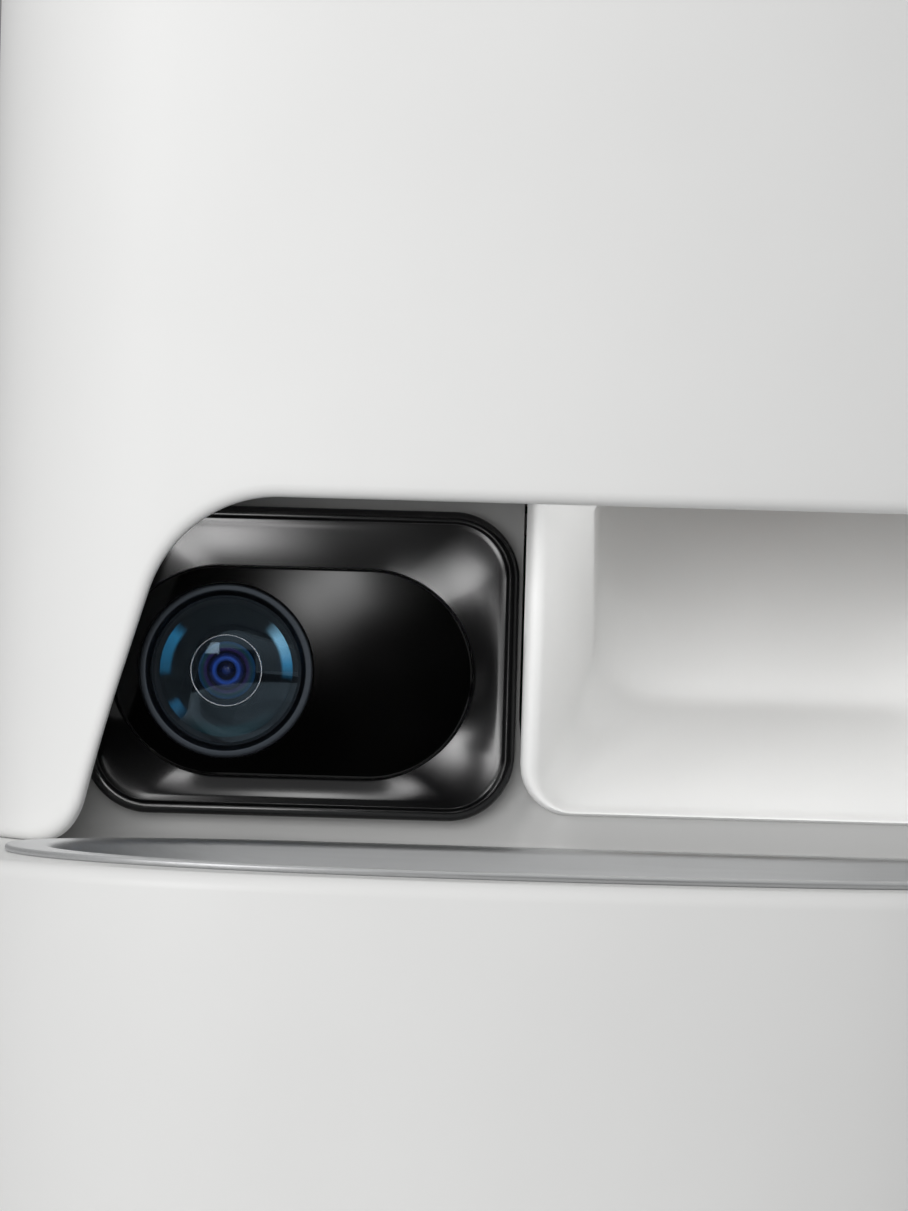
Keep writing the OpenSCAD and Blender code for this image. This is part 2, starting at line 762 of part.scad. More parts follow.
module bowl() {
  top = base_h + bowl_gauge;
  low = base_h - bowl_depth;
  inwards = bowl_gauge / sin(bowl_slope);
  color("#bfc2c4") difference() {
    union() {
      d_prism(bowl_plan, base_h, top);
      d_stack(bowl_plan, [wall_level(low, 0), wall_level(base_h + bowl_gauge / 2, 0)]);
    }
    d_stack(bowl_plan, [wall_level(low + bowl_gauge, inwards), wall_level(top + e, inwards)]);
  }
}

// Chute
module chute_face(grow, y0, y1) {
  h = chute_top - chute_z;
  face_plate(chute_x, chute_z + h / 2, chute_w + 2 * grow, h + 2 * grow, chute_r + grow, y0, y1);
}

// Space between two plan sides and a side profile
module chute_space(out, profile) {
  x0 = chute_left + chute_wall - out;
  x1 = chute_right - chute_wall + out;
  intersection() {
    translate([0, 0, base_h]) linear_extrude(2 * outlet_h) polygon([[x0, chute_front - e], [x0, ramp_y0],
      [x0 + chute_draw, ramp_y1], [x0 + chute_draw, back_y + 10], [x1 - chute_draw, back_y + 10],
      [x1 - chute_draw, ramp_y1], [x1, ramp_y0], [x1, chute_front - e]]);
    translate([chute_left - 10, 0, 0]) rotate([90, 0, 90]) linear_extrude(chute_w + 20) polygon(profile);
  }
}

module chute() {
  back = panel_y + panel_t;
  mouth_h = mouth_z - ramp_z;
  mouth_r = chute_r - 2;
  inside = [[chute_front - e, ramp_z], [ramp_y0, ramp_z], [ramp_y1, ramp_top], [back_y, floor_z + e],
    [mouth_y, floor_z + e], [mouth_y, mouth_z], [chute_front - e, mouth_z]];
  outside = [[back + gap, chute_z + 0.5], [ramp_y1 + 1, ramp_top - skin], [back_y + skin, floor_z - 0.2],
    [mouth_y - skin, floor_z - 0.2], [mouth_y - skin, chute_top - 0.5], [back + gap, chute_top - 0.5]];
  color("#f0f0ef") difference() {
    union() {
      chute_face(0, chute_front, back + 1);
      chute_space(skin, outside);
    }
    intersection() {
      chute_space(0, inside);
      union() {
        face_plate(chute_x, ramp_z + mouth_h / 2, chute_w - 2 * chute_wall, mouth_h, mouth_r,
          chute_front - e, back + 2);
        block([chute_left, back + 1, base_h], [chute_right, back_y + 10, floor_z + 2 * e]);
      }
    }
  }
}

module chute_sensors() {
  size = [3, 8, 10];
  z = chute_top - 18;
  y = ramp_y1 + 4;
  x0 = chute_left + chute_wall + chute_draw - skin;
  x1 = chute_right - chute_wall - chute_draw + skin;
  color("#33363a") {
    block([x0 - size[0], y, z], [x0, y + size[1], z + size[2]]);
    block([x1, y, z], [x1 + size[0], y + size[1], z + size[2]]);
  }
}

// Hopper and portion wheel
// Four sloping sides round the wheel's pocket, cut to a plan
module funnel(half, low, plan, top) {
  rise = top - low;
  wide = half + rise / tan(funnel_slope);
  sides = [[-half, low], [half, low], [wide, top], [-wide, top]];
  intersection() {
    d_prism(plan, low, top);
    translate([wheel_x, feeder_d, 0]) rotate([90, 0, 0]) linear_extrude(2 * feeder_d) polygon(sides);
    translate([-feeder_w, wheel_y, 0]) rotate([90, 0, 90]) linear_extrude(2 * feeder_w) polygon(sides);
  }
}

module hopper() {
  axis = [wheel_x, wheel_y];
  outer_r = pocket_r + hopper_wall;
  funnel_half = pocket_r + hopper_wall * tan(funnel_slope / 2);
  color("#e9e9e6") difference() {
    union() {
      rod_z(axis, outer_r, floor_z, funnel_z - hopper_wall / 2);
      funnel(funnel_half, funnel_z - hopper_wall, hopper_plan, body_top - e);
      d_prism(flange_plan, ledge_z, body_top);
    }
    rod_z(axis, pocket_r, pocket_z, funnel_z + e);
    funnel(pocket_r, funnel_z, inset(hopper_plan, hopper_wall), body_top + e);
    rod_z(axis, shaft_r + run_clear, floor_z - e, pocket_z + e);
    for (p = drive_posts) rod_z(p, screw_r + run_clear, floor_z - e, floor_z + post_screw_in + fit);
    translate([wheel_x, wheel_y, floor_z - e]) linear_extrude(hopper_floor + 2 * e) difference() {
      sector(outlet_out, -outlet_half, outlet_half);
      circle(outlet_in);
    }
  }
}

module portion_wheel() {
  color("#f3b46b") translate([wheel_x, wheel_y, wheel_foot]) difference() {
    union() {
      cylinder(r = hub_r, h = wheel_h);
      translate([0, 0, wheel_h]) cylinder(r1 = hub_r, r2 = shaft_r, h = 5);
      intersection() {
        cylinder(r = pocket_r - vane_gap, h = wheel_h);
        for (k = [0:vane_count - 1]) rotate(360 / vane_count * (k + 0.5))
          translate([0, -vane_t / 2, 0]) cube([pocket_r, vane_t, wheel_h]);
      }
    }
    translate([0, 0, -e]) cylinder(r = shaft_r + fit / 4, h = wheel_h - 3 + e);
  }
}

module wheel_shaft() {
  color("#b8bbbf") rod_z([wheel_x, wheel_y], shaft_r, drive_z + 0.5, wheel_foot + wheel_h - 3);
}

module wheel_gear() {
  color("#ece8dc") translate([wheel_x, wheel_y, gear_z]) difference() {
    union() {
      linear_extrude(gear_face) rotate(mesh_angle) gear_plan(wheel_teeth, mesh_gap);
      cylinder(r = shaft_r + 3, h = gear_top - gear_z + 3);
    }
    translate([0, 0, -e]) cylinder(r = shaft_r + fit / 4, h = gear_face + 10);
  }
}

// Drive
module pinion() {
  color("#c9a24b") translate([pinion_x, pinion_y, gear_z]) difference() {
    linear_extrude(gear_face) rotate(mesh_angle + 180 + 180 / pinion_teeth) gear_plan(pinion_teeth, mesh_gap);
    translate([0, 0, -e]) cylinder(r = motor_shaft_r + fit / 4, h = gear_face + 2 * e);
  }
}

module motor_shaft() {
  color("#b8bbbf") rod_z([pinion_x, pinion_y], motor_shaft_r, drive_z - 8, gear_top - 0.5);
}

module motor() {
  axis = [pinion_x, pinion_y];
  color("#9a9da1") difference() {
    union() {
      rod_z(axis, motor_r, drive_z - motor_l, drive_z);
      rod_z(axis, motor_r * 0.35, drive_z - motor_l - 2, drive_z - motor_l + e);
    }
    rod_z(axis, motor_shaft_r + run_clear, drive_z - 10, drive_z + e);
  }
}

module drive_plate() {
  axis = [pinion_x, pinion_y];
  color("#d5d5d3") difference() {
    union() {
      translate([0, 0, drive_z]) linear_extrude(drive_t) {
        translate([wheel_x, wheel_y]) circle(shaft_r + 7);
        translate(axis) circle(motor_r + 3);
        for (p = drive_posts) translate(p) circle(post_r + 2);
        polygon([drive_posts[0], drive_posts[1], [wheel_x + 4, wheel_y], drive_posts[2]]);
      }
      for (p = drive_posts) rod_z(p, post_r, drive_z, floor_z);
    }
    rod_z([wheel_x, wheel_y], shaft_r + run_clear, drive_z - e, drive_top + e);
    rod_z(axis, motor_shaft_r + gap, drive_z - e, drive_top + e);
    for (p = drive_posts) rod_z(p, screw_r + run_clear, drive_z - e, floor_z + e);
  }
}

module drive_screws() {
  color("#b8bbbf") for (p = drive_posts) {
    rod_z(p, screw_r, drive_z, floor_z + post_screw_in);
    rod_z(p, screw_head_r, drive_z - screw_head_t, drive_z);
  }
}

// Lid
module lid() {
  color("#f4f4f3") difference() {
    lid_cut(lid_rear) d_stack(body_plan, round_levels(cap_z, feeder_h, cap_round));
    lid_cut(lid_rear - cap_wall) d_stack(body_plan, [[cap_wall, cap_z - e],
      [cap_wall, feeder_h - cap_round], [cap_round, feeder_h - cap_wall]]);
  }
}

// Two arms behind the lid that turn on the hinge pins
module lid_hinges() {
  color("#f4f4f3") difference() {
    for (s = [-1, 1]) {
      rod_x(hinge_y, hinge_z, knuckle_r, s * hinge_x - knuckle_w / 2, s * hinge_x + knuckle_w / 2);
      block([s * hinge_x - knuckle_w / 2, lid_rear, hinge_z - knuckle_r + 0.3],
        [s * hinge_x + knuckle_w / 2, hinge_y, hinge_z + knuckle_r - 0.3]);
    }
    rod_x(hinge_y, hinge_z, pin_r + run_clear, -feeder_w / 2, feeder_w / 2);
  }
}

module lid_cut(y1) {
  intersection() {
    children();
    block([-feeder_w, -feeder_d, 0], [feeder_w, y1, feeder_h]);
  }
}

module lid_liner() {
  room = inset(body_plan, cap_wall + gap);
  plug = inset(hopper_plan, hopper_wall + plug_gap);
  color("#e4e4e2") difference() {
    union() {
      lid_cut(lid_rear - cap_wall - gap) d_prism(room, liner_z, liner_z + liner_t);
      d_ring(plug, inset(plug, plug_wall), liner_z - plug_h, liner_z + liner_t / 2);
    }
    rod_z([0, cup_y], cup_r + cup_wall + fit, liner_z - e, liner_z + liner_t + e);
  }
}

// Flat seal between the lining and the hopper's flange
module lid_gasket() {
  outer = inset(flange_plan, seal_in);
  color("#cfd3d6") d_ring(outer, inset(outer, seal_w), body_top + gap, liner_z);
}

module desiccant_cup() {
  z1 = liner_z + liner_t;
  z0 = z1 - cup_h;
  axis = [0, cup_y];
  color("#e4e4e2") difference() {
    union() {
      rod_z(axis, cup_r + cup_wall, z0, z1);
      rod_z(axis, cup_r + cup_wall + 3, z1, z1 + 1.6);
    }
    rod_z(axis, cup_r, z0 - e, z1 - 1);
    rod_z(axis, cup_r - 3, z1 - 1 - e, z1 - 0.4);
  }
  color("#e4e4e2") difference() {
    rod_z(axis, cup_r + e, z0 + cap_disc_t + gap, z0 + cap_disc_t + gap + 1.5);
    rod_z(axis, cup_r - 3, z0, z1);
  }
}

module desiccant_cap() {
  z0 = liner_z + liner_t - cup_h;
  slots = 8;
  color("#f0f0ef") translate([0, cup_y, z0]) difference() {
    union() {
      cylinder(r = cup_r - gap, h = cap_disc_t);
      translate([-cup_r * 0.6, -2, -5]) cube([cup_r * 1.2, 4, 6]);
    }
    for (k = [0:slots - 1]) rotate(360 / slots * (k + 0.5)) translate([cup_r * 0.42, -1.2, -e])
      cube([cup_r * 0.4, 2.4, cap_disc_t + 2 * e]);
  }
}

module rear_half(y0) {
  intersection() {
    children();
    block([-feeder_w, y0, 0], [feeder_w, feeder_d, feeder_h + e]);
  }
}

module rear_deck() {
  room = inset(body_plan, cap_wall);
  slot_w = knuckle_w + 2 * slot_side;
  color("#f4f4f3") difference() {
    union() {
      difference() {
        rear_half(deck_front) d_stack(body_plan, round_levels(body_top, feeder_h, cap_round));
        rear_half(deck_front + cap_wall) {
          d_prism(inset(room, cap_round / 3), body_top - e, feeder_h - cap_wall);
          d_prism(room, body_top - e, feeder_h - cap_round);
        }
      }
      for (s = [-1, 1]) block([s * hinge_x - slot_w / 2 - ear_t, deck_front, hinge_z - knuckle_r - 4],
        [s * hinge_x + slot_w / 2 + ear_t, hinge_y + knuckle_r + 3, feeder_h - 1]);
      for (x = [feed_x - 14, light_x + 6])
        rod_z([x, feed_y], main_post_r, button_board_z + button_board_t, feeder_h - 1);
    }
    for (s = [-1, 1]) block([s * hinge_x - slot_w / 2, deck_front - e, hinge_z - knuckle_r - 1],
      [s * hinge_x + slot_w / 2, hinge_y + knuckle_r + slot_back, feeder_h + e]);
    rod_x(hinge_y, hinge_z, pin_r + run_clear, -hinge_x - slot_w, hinge_x + slot_w);
    rod_z([feed_x, feed_y], feed_r + gap, feeder_h - cap_wall - e, feeder_h + e);
    rod_z([light_x, feed_y], light_r + run_clear, feeder_h - cap_wall - e, feeder_h + e);
  }
}

module hinge_pins() {
  reach = knuckle_w / 2 + slot_side + ear_t;
  color("#b8bbbf") for (s = [-1, 1]) rod_x(hinge_y, hinge_z, pin_r, s * hinge_x - reach, s * hinge_x + reach);
}

// Controls
module feed_button() {
  color("#ffffff") {
    rod_z([feed_x, feed_y], feed_r, feed_foot, feed_top);
    rod_z([feed_x, feed_y], feed_r + feed_flange, feed_foot, feed_foot + feed_flange_t);
  }
}

module button_board() {
  top = button_board_z + button_board_t;
  color("#2f6b4f") {
    block([feed_x - 18, feed_y - 7, button_board_z], [light_x + 10, feed_y + 7, top]);
    block([feed_x - 3, feed_y - 3, top], [feed_x + 3, feed_y + 3, top + switch_h]);
  }
}

module status_light() {
  color("#dff3e6") rod_z([light_x, feed_y], light_r, button_board_z + button_board_t, feeder_h - 0.1);
}

// Electronics on the rear wall
module main_board() {
  color("#2f6b4f") difference() {
    block([main_x, main_y, main_z], [main_x + main_w, main_y + main_t, main_z + main_h]);
    board_spots() rod_y(0, 0, screw_r + gap, main_y - e, main_y + main_t + e);
  }
}

module board_parts() {
  color("#33363a") {
    block([main_x + 8, main_y - 2.4, main_z + 46], [main_x + 26, main_y, main_z + 70]);
    block([main_x + 28, main_y - 1.4, main_z + 28], [main_x + 38, main_y, main_z + 38]);
    rod_y(main_x + 12, main_z + 32, 4, main_y - 9, main_y);
    rod_y(main_x + 12, main_z + 20, 4, main_y - 9, main_y);
    block([reset_x - 3, main_y + main_t, control_z - 3],
      [reset_x + 3, rear_in - gap - 1.5 - reset_travel - gap, control_z + 3]);
  }
}

module board_screws() {
  color("#b8bbbf") board_spots() {
    rod_y(0, 0, screw_r, main_y, rear_in - 1.5);
    rod_y(0, 0, screw_head_r, main_y - screw_head_t, main_y);
  }
}

module dc_jack() {
  color("#24262a") difference() {
    union() {
      block([jack_x - 6, main_y + main_t, control_z - 5.5], [jack_x + 6, rear_in, control_z + 5.5]);
      rod_y(jack_x, control_z, jack_r, rear_in - e, rear_y - 0.4);
    }
    rod_y(jack_x, control_z, jack_bore_r, main_y + main_t + 2, rear_y);
  }
  color("#c8a86a") rod_y(jack_x, control_z, 1, main_y + main_t + 1, rear_y - 2.4);
}

module reset_button() {
  foot = rear_in - gap - 1.5;
  color("#8c9196") {
    rod_y(reset_x, control_z, reset_r, foot, rear_y + 0.4);
    rod_y(reset_x, control_z, reset_r + 1.5, foot, foot + 1.5);
  }
}

module speaker() {
  color("#33363a") {
    rod_y(speaker_x, speaker_z, speaker_r, rear_in - 2, rear_in);
    rod_y(speaker_x, speaker_z, speaker_r * 0.7, rear_in - speaker_t, rear_in - 2 + e);
  }
}

// Camera
module camera_bezel() {
  face_w = bezel_w - 2 * bezel_rim;
  face_h = bezel_h - 2 * bezel_rim;
  ledge = 1.5;
  color("#1d1e20") difference() {
    face_plate(bezel_x, bezel_z, bezel_w, bezel_h, bezel_r, bezel_y, panel_y - gasket_t);
    face_plate(bezel_x, bezel_z, face_w, face_h, bezel_r - bezel_rim, bezel_y - e, face_y);
    stadium(window_x, window_z, window_w + 2 * fit, window_h + 2 * fit, bezel_y - e, window_y + window_t);
    stadium(window_x, window_z, window_w - 2 * ledge, window_h - 2 * ledge, bezel_y - e, panel_y + e);
  }
}

module camera_gasket() {
  color("#2b2d30") difference() {
    face_plate(bezel_x, bezel_z, bezel_w - 2, bezel_h - 2, bezel_r - 1, panel_y - gasket_t, panel_y);
    face_plate(bezel_x, bezel_z, bezel_w - 6, bezel_h - 6, bezel_r - 3, panel_y - gasket_t - e, panel_y + e);
  }
}

module camera_window() {
  color("#050506") difference() {
    stadium(window_x, window_z, window_w, window_h, window_y, window_y + window_t);
    rod_y(lens_x, window_z, lens_ring_d / 2 + fit, window_y - e, window_y + window_t + e);
  }
}

module lens_ring() {
  color("#2a2c2f") difference() {
    rod_y(lens_x, window_z, lens_ring_d / 2, ring_y, window_y + window_t + 1);
    rod_y(lens_x, window_z, lens_dome_d / 2 + fit, ring_y - e, barrel_y);
    rod_y(lens_x, window_z, barrel_r + fit, ring_y - e, window_y + window_t + 2);
  }
}

// Glass cap: the slice of a ball that stands in front of the ring
module ball_cap(r, ball_r, apex_y, y1) {
  intersection() {
    translate([lens_x, apex_y + ball_r, window_z]) sphere(r = ball_r);
    rod_y(lens_x, window_z, r, apex_y - e, y1);
  }
}

module lens_dome() {
  apex = dome_y - lens_dome_h;
  color("#30506a") difference() {
    ball_cap(lens_dome_d / 2, dome_r, apex, dome_y + dome_t);
    translate([lens_x, apex + dome_r, window_z]) sphere(r = dome_r - dome_t);
  }
}

module lens_barrel() {
  color("#121316") difference() {
    rod_y(lens_x, window_z, barrel_r, barrel_y, board_y);
    rod_y(lens_x, window_z, lens_trim_d / 2 - 1, barrel_y - e, barrel_y + barrel_seat);
  }
}

module lens_trim_ring() {
  color("#c9ccd0") difference() {
    rod_y(lens_x, window_z, lens_trim_d / 2, barrel_y - 0.6, barrel_y);
    rod_y(lens_x, window_z, lens_trim_d / 2 - 0.5, barrel_y - e, barrel_y + e);
  }
}

module lens_element() {
  r = lens_trim_d / 2 - 1 - fit;
  ball_r = (r * r + element_h * element_h) / (2 * element_h);
  color("#2a4f9a") ball_cap(r, ball_r, barrel_y - 0.2, barrel_y + barrel_seat);
}

module camera_case() {
  lip = 3;
  color("#3a3d42") difference() {
    union() {
      face_plate(bezel_x, bezel_z, case_w, case_h, case_r, case_y, case_y + case_d);
      face_plate(bezel_x, bezel_z, case_w + 2 * lip, case_h + 2 * lip, case_r + 2,
        case_y, case_y + case_wall);
    }
    face_plate(bezel_x, bezel_z, case_w - 2 * case_wall, case_h - 2 * case_wall, case_r - 1,
      case_y - e, case_y + case_d - case_wall);
  }
}

module camera_board() {
  slim = 2 * (case_wall + fit);
  color("#2f6b4f")
    face_plate(bezel_x, bezel_z, case_w - slim, case_h - slim, case_r - 1, board_y, board_y + board_t);
}

module night_lights() {
  color("#4a2f3a") for (x = [window_x + 8, window_x + 14]) {
    rod_y(x, window_z, 2.2, window_y + window_t, board_y);
    rod_y(x, window_z, 2.8, board_y - 2, board_y);
  }
}

base_shell();
base_plate();
base_screws();
rubber_feet();
battery_tray();
battery_cells();
battery_contacts();
battery_door();
door_pin();
body_shell();
body_screws();
niche_liner();
bowl();
chute();
chute_sensors();
hopper();
portion_wheel();
wheel_shaft();
wheel_gear();
pinion();
motor_shaft();
motor();
drive_plate();
drive_screws();
lid();
lid_hinges();
lid_liner();
lid_gasket();
desiccant_cup();
desiccant_cap();
rear_deck();
hinge_pins();
feed_button();
button_board();
status_light();
main_board();
board_parts();
board_screws();
dc_jack();
reset_button();
speaker();
camera_bezel();
camera_gasket();
camera_window();
lens_ring();
lens_dome();
lens_barrel();
lens_trim_ring();
lens_element();
camera_case();
camera_board();
night_lights();
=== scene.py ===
# %% [markdown]
# # A pet feeder with a camera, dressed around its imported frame
# The frame holds the exact solids of the feeder and the bodies that move. This lesson keeps
# them as they are and adds the soft edges, curved sheets and finishes that the eye sees.
# Every length below is in millimetres until a mesh is made.

# %% Load the frame
import json
import math
from contextlib import contextmanager

import bmesh
import bpy
import numpy as np
from mathutils import Matrix, Vector

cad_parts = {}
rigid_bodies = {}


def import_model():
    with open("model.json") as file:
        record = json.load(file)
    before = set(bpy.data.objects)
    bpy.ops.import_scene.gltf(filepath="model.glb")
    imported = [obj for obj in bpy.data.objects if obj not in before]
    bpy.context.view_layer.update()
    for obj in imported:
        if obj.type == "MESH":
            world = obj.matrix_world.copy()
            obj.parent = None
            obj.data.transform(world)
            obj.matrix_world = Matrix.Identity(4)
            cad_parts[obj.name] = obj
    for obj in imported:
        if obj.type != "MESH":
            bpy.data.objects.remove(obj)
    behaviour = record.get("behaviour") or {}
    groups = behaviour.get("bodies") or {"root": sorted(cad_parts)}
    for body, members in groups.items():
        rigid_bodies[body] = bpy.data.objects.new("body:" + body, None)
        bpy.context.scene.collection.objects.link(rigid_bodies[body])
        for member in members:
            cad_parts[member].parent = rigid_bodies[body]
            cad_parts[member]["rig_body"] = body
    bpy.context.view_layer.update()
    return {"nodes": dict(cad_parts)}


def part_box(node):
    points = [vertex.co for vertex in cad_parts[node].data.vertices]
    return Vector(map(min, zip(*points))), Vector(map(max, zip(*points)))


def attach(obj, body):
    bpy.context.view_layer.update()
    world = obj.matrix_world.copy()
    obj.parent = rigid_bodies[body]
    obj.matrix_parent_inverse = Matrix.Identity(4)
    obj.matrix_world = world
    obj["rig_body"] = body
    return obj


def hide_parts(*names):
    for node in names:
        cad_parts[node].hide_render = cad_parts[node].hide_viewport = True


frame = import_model()
nodes = frame["nodes"]
MM = 0.001


def edges(node):
    """Lowest and highest corner of a node, in millimetres."""
    low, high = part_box(node)
    return np.array(low) / MM, np.array(high) / MM


# %% [markdown]
# ## Camera
# A close view with a long lens, level with the camera window, a little from the right. The
# picture is 908 x 1211, so its long side takes the whole 36 mm of the film.

# %% Camera
FILM_MM = 36.0
IMAGE_H = 1211
FOCAL_PX = 10080
VIEW_DISTANCE = 1400.0
VIEW_YAW = math.radians(2.5)
VIEW_PITCH = math.radians(0.6)
VIEW_ROLL = math.radians(1.6)
VIEW_TARGET = Vector((-20.0, -8.0, 94.0))


def placed(name, data):
    """New object with its data, linked to the scene."""
    made = bpy.data.objects.new(name, data)
    bpy.context.scene.collection.objects.link(made)
    return made


toward = Vector((math.sin(VIEW_YAW) * math.cos(VIEW_PITCH), -math.cos(VIEW_YAW) * math.cos(VIEW_PITCH),
                 math.sin(VIEW_PITCH)))
camera = placed("camera", bpy.data.cameras.new("camera"))
camera.data.sensor_width = FILM_MM
camera.data.lens = FILM_MM * FOCAL_PX / IMAGE_H
camera.data.clip_start = 0.01
camera.data.clip_end = 100.0
aim = toward.to_track_quat("Z", "Y").to_matrix().to_4x4() @ Matrix.Rotation(VIEW_ROLL, 4, "Z")
camera.matrix_world = Matrix.Translation((VIEW_TARGET + toward * VIEW_DISTANCE) * MM) @ aim
bpy.context.scene.camera = camera
bpy.context.scene.view_settings.view_transform = "Standard"
print("lens", round(camera.data.lens, 1), "mm")

# %% [markdown]
# ## Finishes
# Each finish starts from a real material. One function adds a node, sets it and links it; colours
# are written as sRGB hex values and turned to linear once.

# %% Finish helpers
finishes = {}


def linear(hex_colour):
    """sRGB hex to linear: the low end is a straight line, the rest a power of 2.4."""
    srgb = np.array([int(hex_colour[k:k + 2], 16) for k in (1, 3, 5)]) / 255
    value = np.where(srgb <= 0.04045, srgb / 12.92, ((srgb + 0.055) / 1.055) ** 2.4)
    return (*value.tolist(), 1.0)


def add_node(tree, kind, settings=None, *outputs, **named):
    """Adds one node, sets its properties or sockets, and links outputs to its inputs in order or by name."""
    made = tree.nodes.new(kind)
    for name, value in (settings or {}).items():
        if name in made.inputs:
            made.inputs[name].default_value = value
        else:
            setattr(made, name, value)
    for socket, output in [*enumerate(outputs), *named.items()]:
        tree.links.new(output, made.inputs[socket])
    return made


def new_finish(name, colour, roughness, metallic=0.0, **sockets):
    """A material in the list of finishes, whose plain values sit on the shader's own sockets."""
    material = finishes[name] = bpy.data.materials.new(name)
    material.use_nodes = True
    shader = material.node_tree.nodes["Principled BSDF"]
    values = {"Base_Color": linear(colour), "Roughness": roughness, "Metallic": metallic, **sockets}
    for socket, value in values.items():
        shader.inputs[socket.replace("_", " ")].default_value = value
    return material.node_tree, shader


def object_noise(tree, size_mm, detail=2.0, stretch=1.0):
    """Noise in Object coordinates: a repeat is about size_mm long, drawn out along x by the stretch."""
    where = add_node(tree, "ShaderNodeTexCoord")
    drawn = add_node(tree, "ShaderNodeMapping", {"Scale": (1.0 / stretch, 1.0, 1.0)},
                     Vector=where.outputs["Object"])
    noise = add_node(tree, "ShaderNodeTexNoise", {"Scale": 1000.0 / size_mm, "Detail": detail},
                     Vector=drawn.outputs["Vector"])
    return noise.outputs["Fac"]


def colour_stops(tree, value, stops):
    """Colour ramp through (place, hex colour) stops."""
    ramp = add_node(tree, "ShaderNodeValToRGB", Fac=value)
    for element, (place, colour) in zip(ramp.color_ramp.elements, (stops[0], stops[-1])):
        element.position = place
        element.color = linear(colour)
    for place, colour in stops[1:-1]:
        ramp.color_ramp.elements.new(place).color = linear(colour)
    return ramp.outputs["Color"]


def relief(tree, shader, noise, depth_mm, rough_low, rough_high):
    """One noise moves the gloss between two values and lifts the surface a little."""
    gloss = add_node(tree, "ShaderNodeMapRange", {"To Min": rough_low, "To Max": rough_high}, Value=noise)
    bump = add_node(tree, "ShaderNodeBump", {"Distance": depth_mm * MM, "Strength": 1.0}, Height=noise)
    tree.links.new(gloss.outputs["Result"], shader.inputs["Roughness"])
    tree.links.new(bump.outputs["Normal"], shader.inputs["Normal"])


print("half sRGB grey is", round(linear("#808080")[0], 3), "in linear light")

# %% [markdown]
# The housing is ABS, moulded in white against a finely polished tool: nearly smooth, with a soft
# sheen. The grain of such a tool is finer than a pixel, so it is drawn at 0.6 mm and very shallow.

# %% Plastics
PATCH_MM = 60.0


def plastic(name, low, high, rough, grain_mm=0.6, depth_mm=0.004):
    """Moulded plastic: slow patches of two close colours where it cooled unevenly, and fine grain."""
    tree, shader = new_finish(name, high, rough)
    patches = colour_stops(tree, object_noise(tree, PATCH_MM, 3.0), [(0.35, low), (0.65, high)])
    tree.links.new(patches, shader.inputs["Base Color"])
    relief(tree, shader, object_noise(tree, grain_mm), depth_mm, rough - 0.04, rough + 0.04)


plastic("white_abs", "#eeeeed", "#f1f1f0", 0.38)  # housing, lid: clean white, soft sheen
plastic("base_abs_painted_shade", "#e3e3e2", "#e6e6e5", 0.38)  # base: the same white and sheen, painted darker as painted shade
plastic("niche_abs_painted_shade", "#c1c1c0", "#c5c5c4", 0.42)  # niche wall and hood: painted shade, a grey that stands for the shade behind the chute
plastic("chute_abs", "#eeeeed", "#f2f2f1", 0.40)  # chute: bright, so its slope shades
plastic("inner_polypropylene", "#d9d9d6", "#dededb", 0.5, 0.9, 0.008)  # inner parts: waxy, a little warm
plastic("wheel_elastomer", "#d98a3c", "#e0924a", 0.55, 0.8, 0.01)  # portion wheel: soft orange vanes
plastic("gear_acetal", "#e2ddcd", "#e8e3d4", 0.4)  # gear: creamy, satin
plastic("button_abs", "#f4f4f3", "#f7f7f6", 0.3)  # button: whiter and shinier than the deck
plastic("grey_abs", "#7c8085", "#84888d", 0.45)  # reset button: plain mid grey
plastic("dark_nylon", "#1d1f22", "#24262a", 0.5, 0.8, 0.01)  # cases, sockets: dull near-black
plastic("foot_rubber", "#8e8e8b", "#979793", 0.75, 0.7, 0.02)  # feet: matt grey rubber
plastic("seal_silicone", "#c6cacc", "#cfd3d5", 0.6, 0.7, 0.01)  # lid seal: cool grey, dull
plastic("black_foam", "#141517", "#1a1b1d", 0.85, 0.5, 0.03)  # gasket: black without shine
plastic("solder_mask", "#155c3a", "#1b6a45", 0.35, 1.5, 0.01)  # circuit boards: green lacquer
plastic("cell_film", "#27446e", "#2d4d7a", 0.3)  # cells: blue shrink film
plastic("light_guide", "#d5efe0", "#e0f5e9", 0.2)  # status light: pale green, shiny
print("plastics:", len(finishes))

# %% [markdown]
# The camera's frame is polycarbonate moulded in black and polished, so it shows the lamps as soft
# bands. The window is the same plastic with a mirror polish, and the ring round the lens is
# anodised aluminium with a fine satin.

# %% Blacks and metals
RIPPLE_MM = 14.0


def gloss_black(name, colour, rough, depth_mm, ior):
    """Polished black plastic: a long slow ripple of the surface bends the reflected lamps a little."""
    tree, shader = new_finish(name, colour, rough, IOR=ior)
    relief(tree, shader, object_noise(tree, RIPPLE_MM, 1.0), depth_mm, rough - 0.03, rough + 0.05)


gloss_black("frame_polycarbonate", "#0b0b0c", 0.12, 0.002, 1.58)  # camera frame: black, broad soft bands
gloss_black("window_polycarbonate", "#020202", 0.07, 0.0005, 1.45)  # window: deep black, sharper reflections
gloss_black("barrel_lacquer", "#06080b", 0.34, 0.001, 1.5)  # lens barrel: dull lacquer


def metal(name, low, high, rough, streak_mm, stretch, depth_mm):
    """Brushed or turned metal: noise drawn out along x into streaks moves colour, gloss and height."""
    tree, shader = new_finish(name, high, rough, 1.0)
    streaks = object_noise(tree, streak_mm, 3.0, stretch)
    tree.links.new(colour_stops(tree, streaks, [(0.0, low), (1.0, high)]), shader.inputs["Base Color"])
    relief(tree, shader, streaks, depth_mm, rough - 0.06, rough + 0.06)


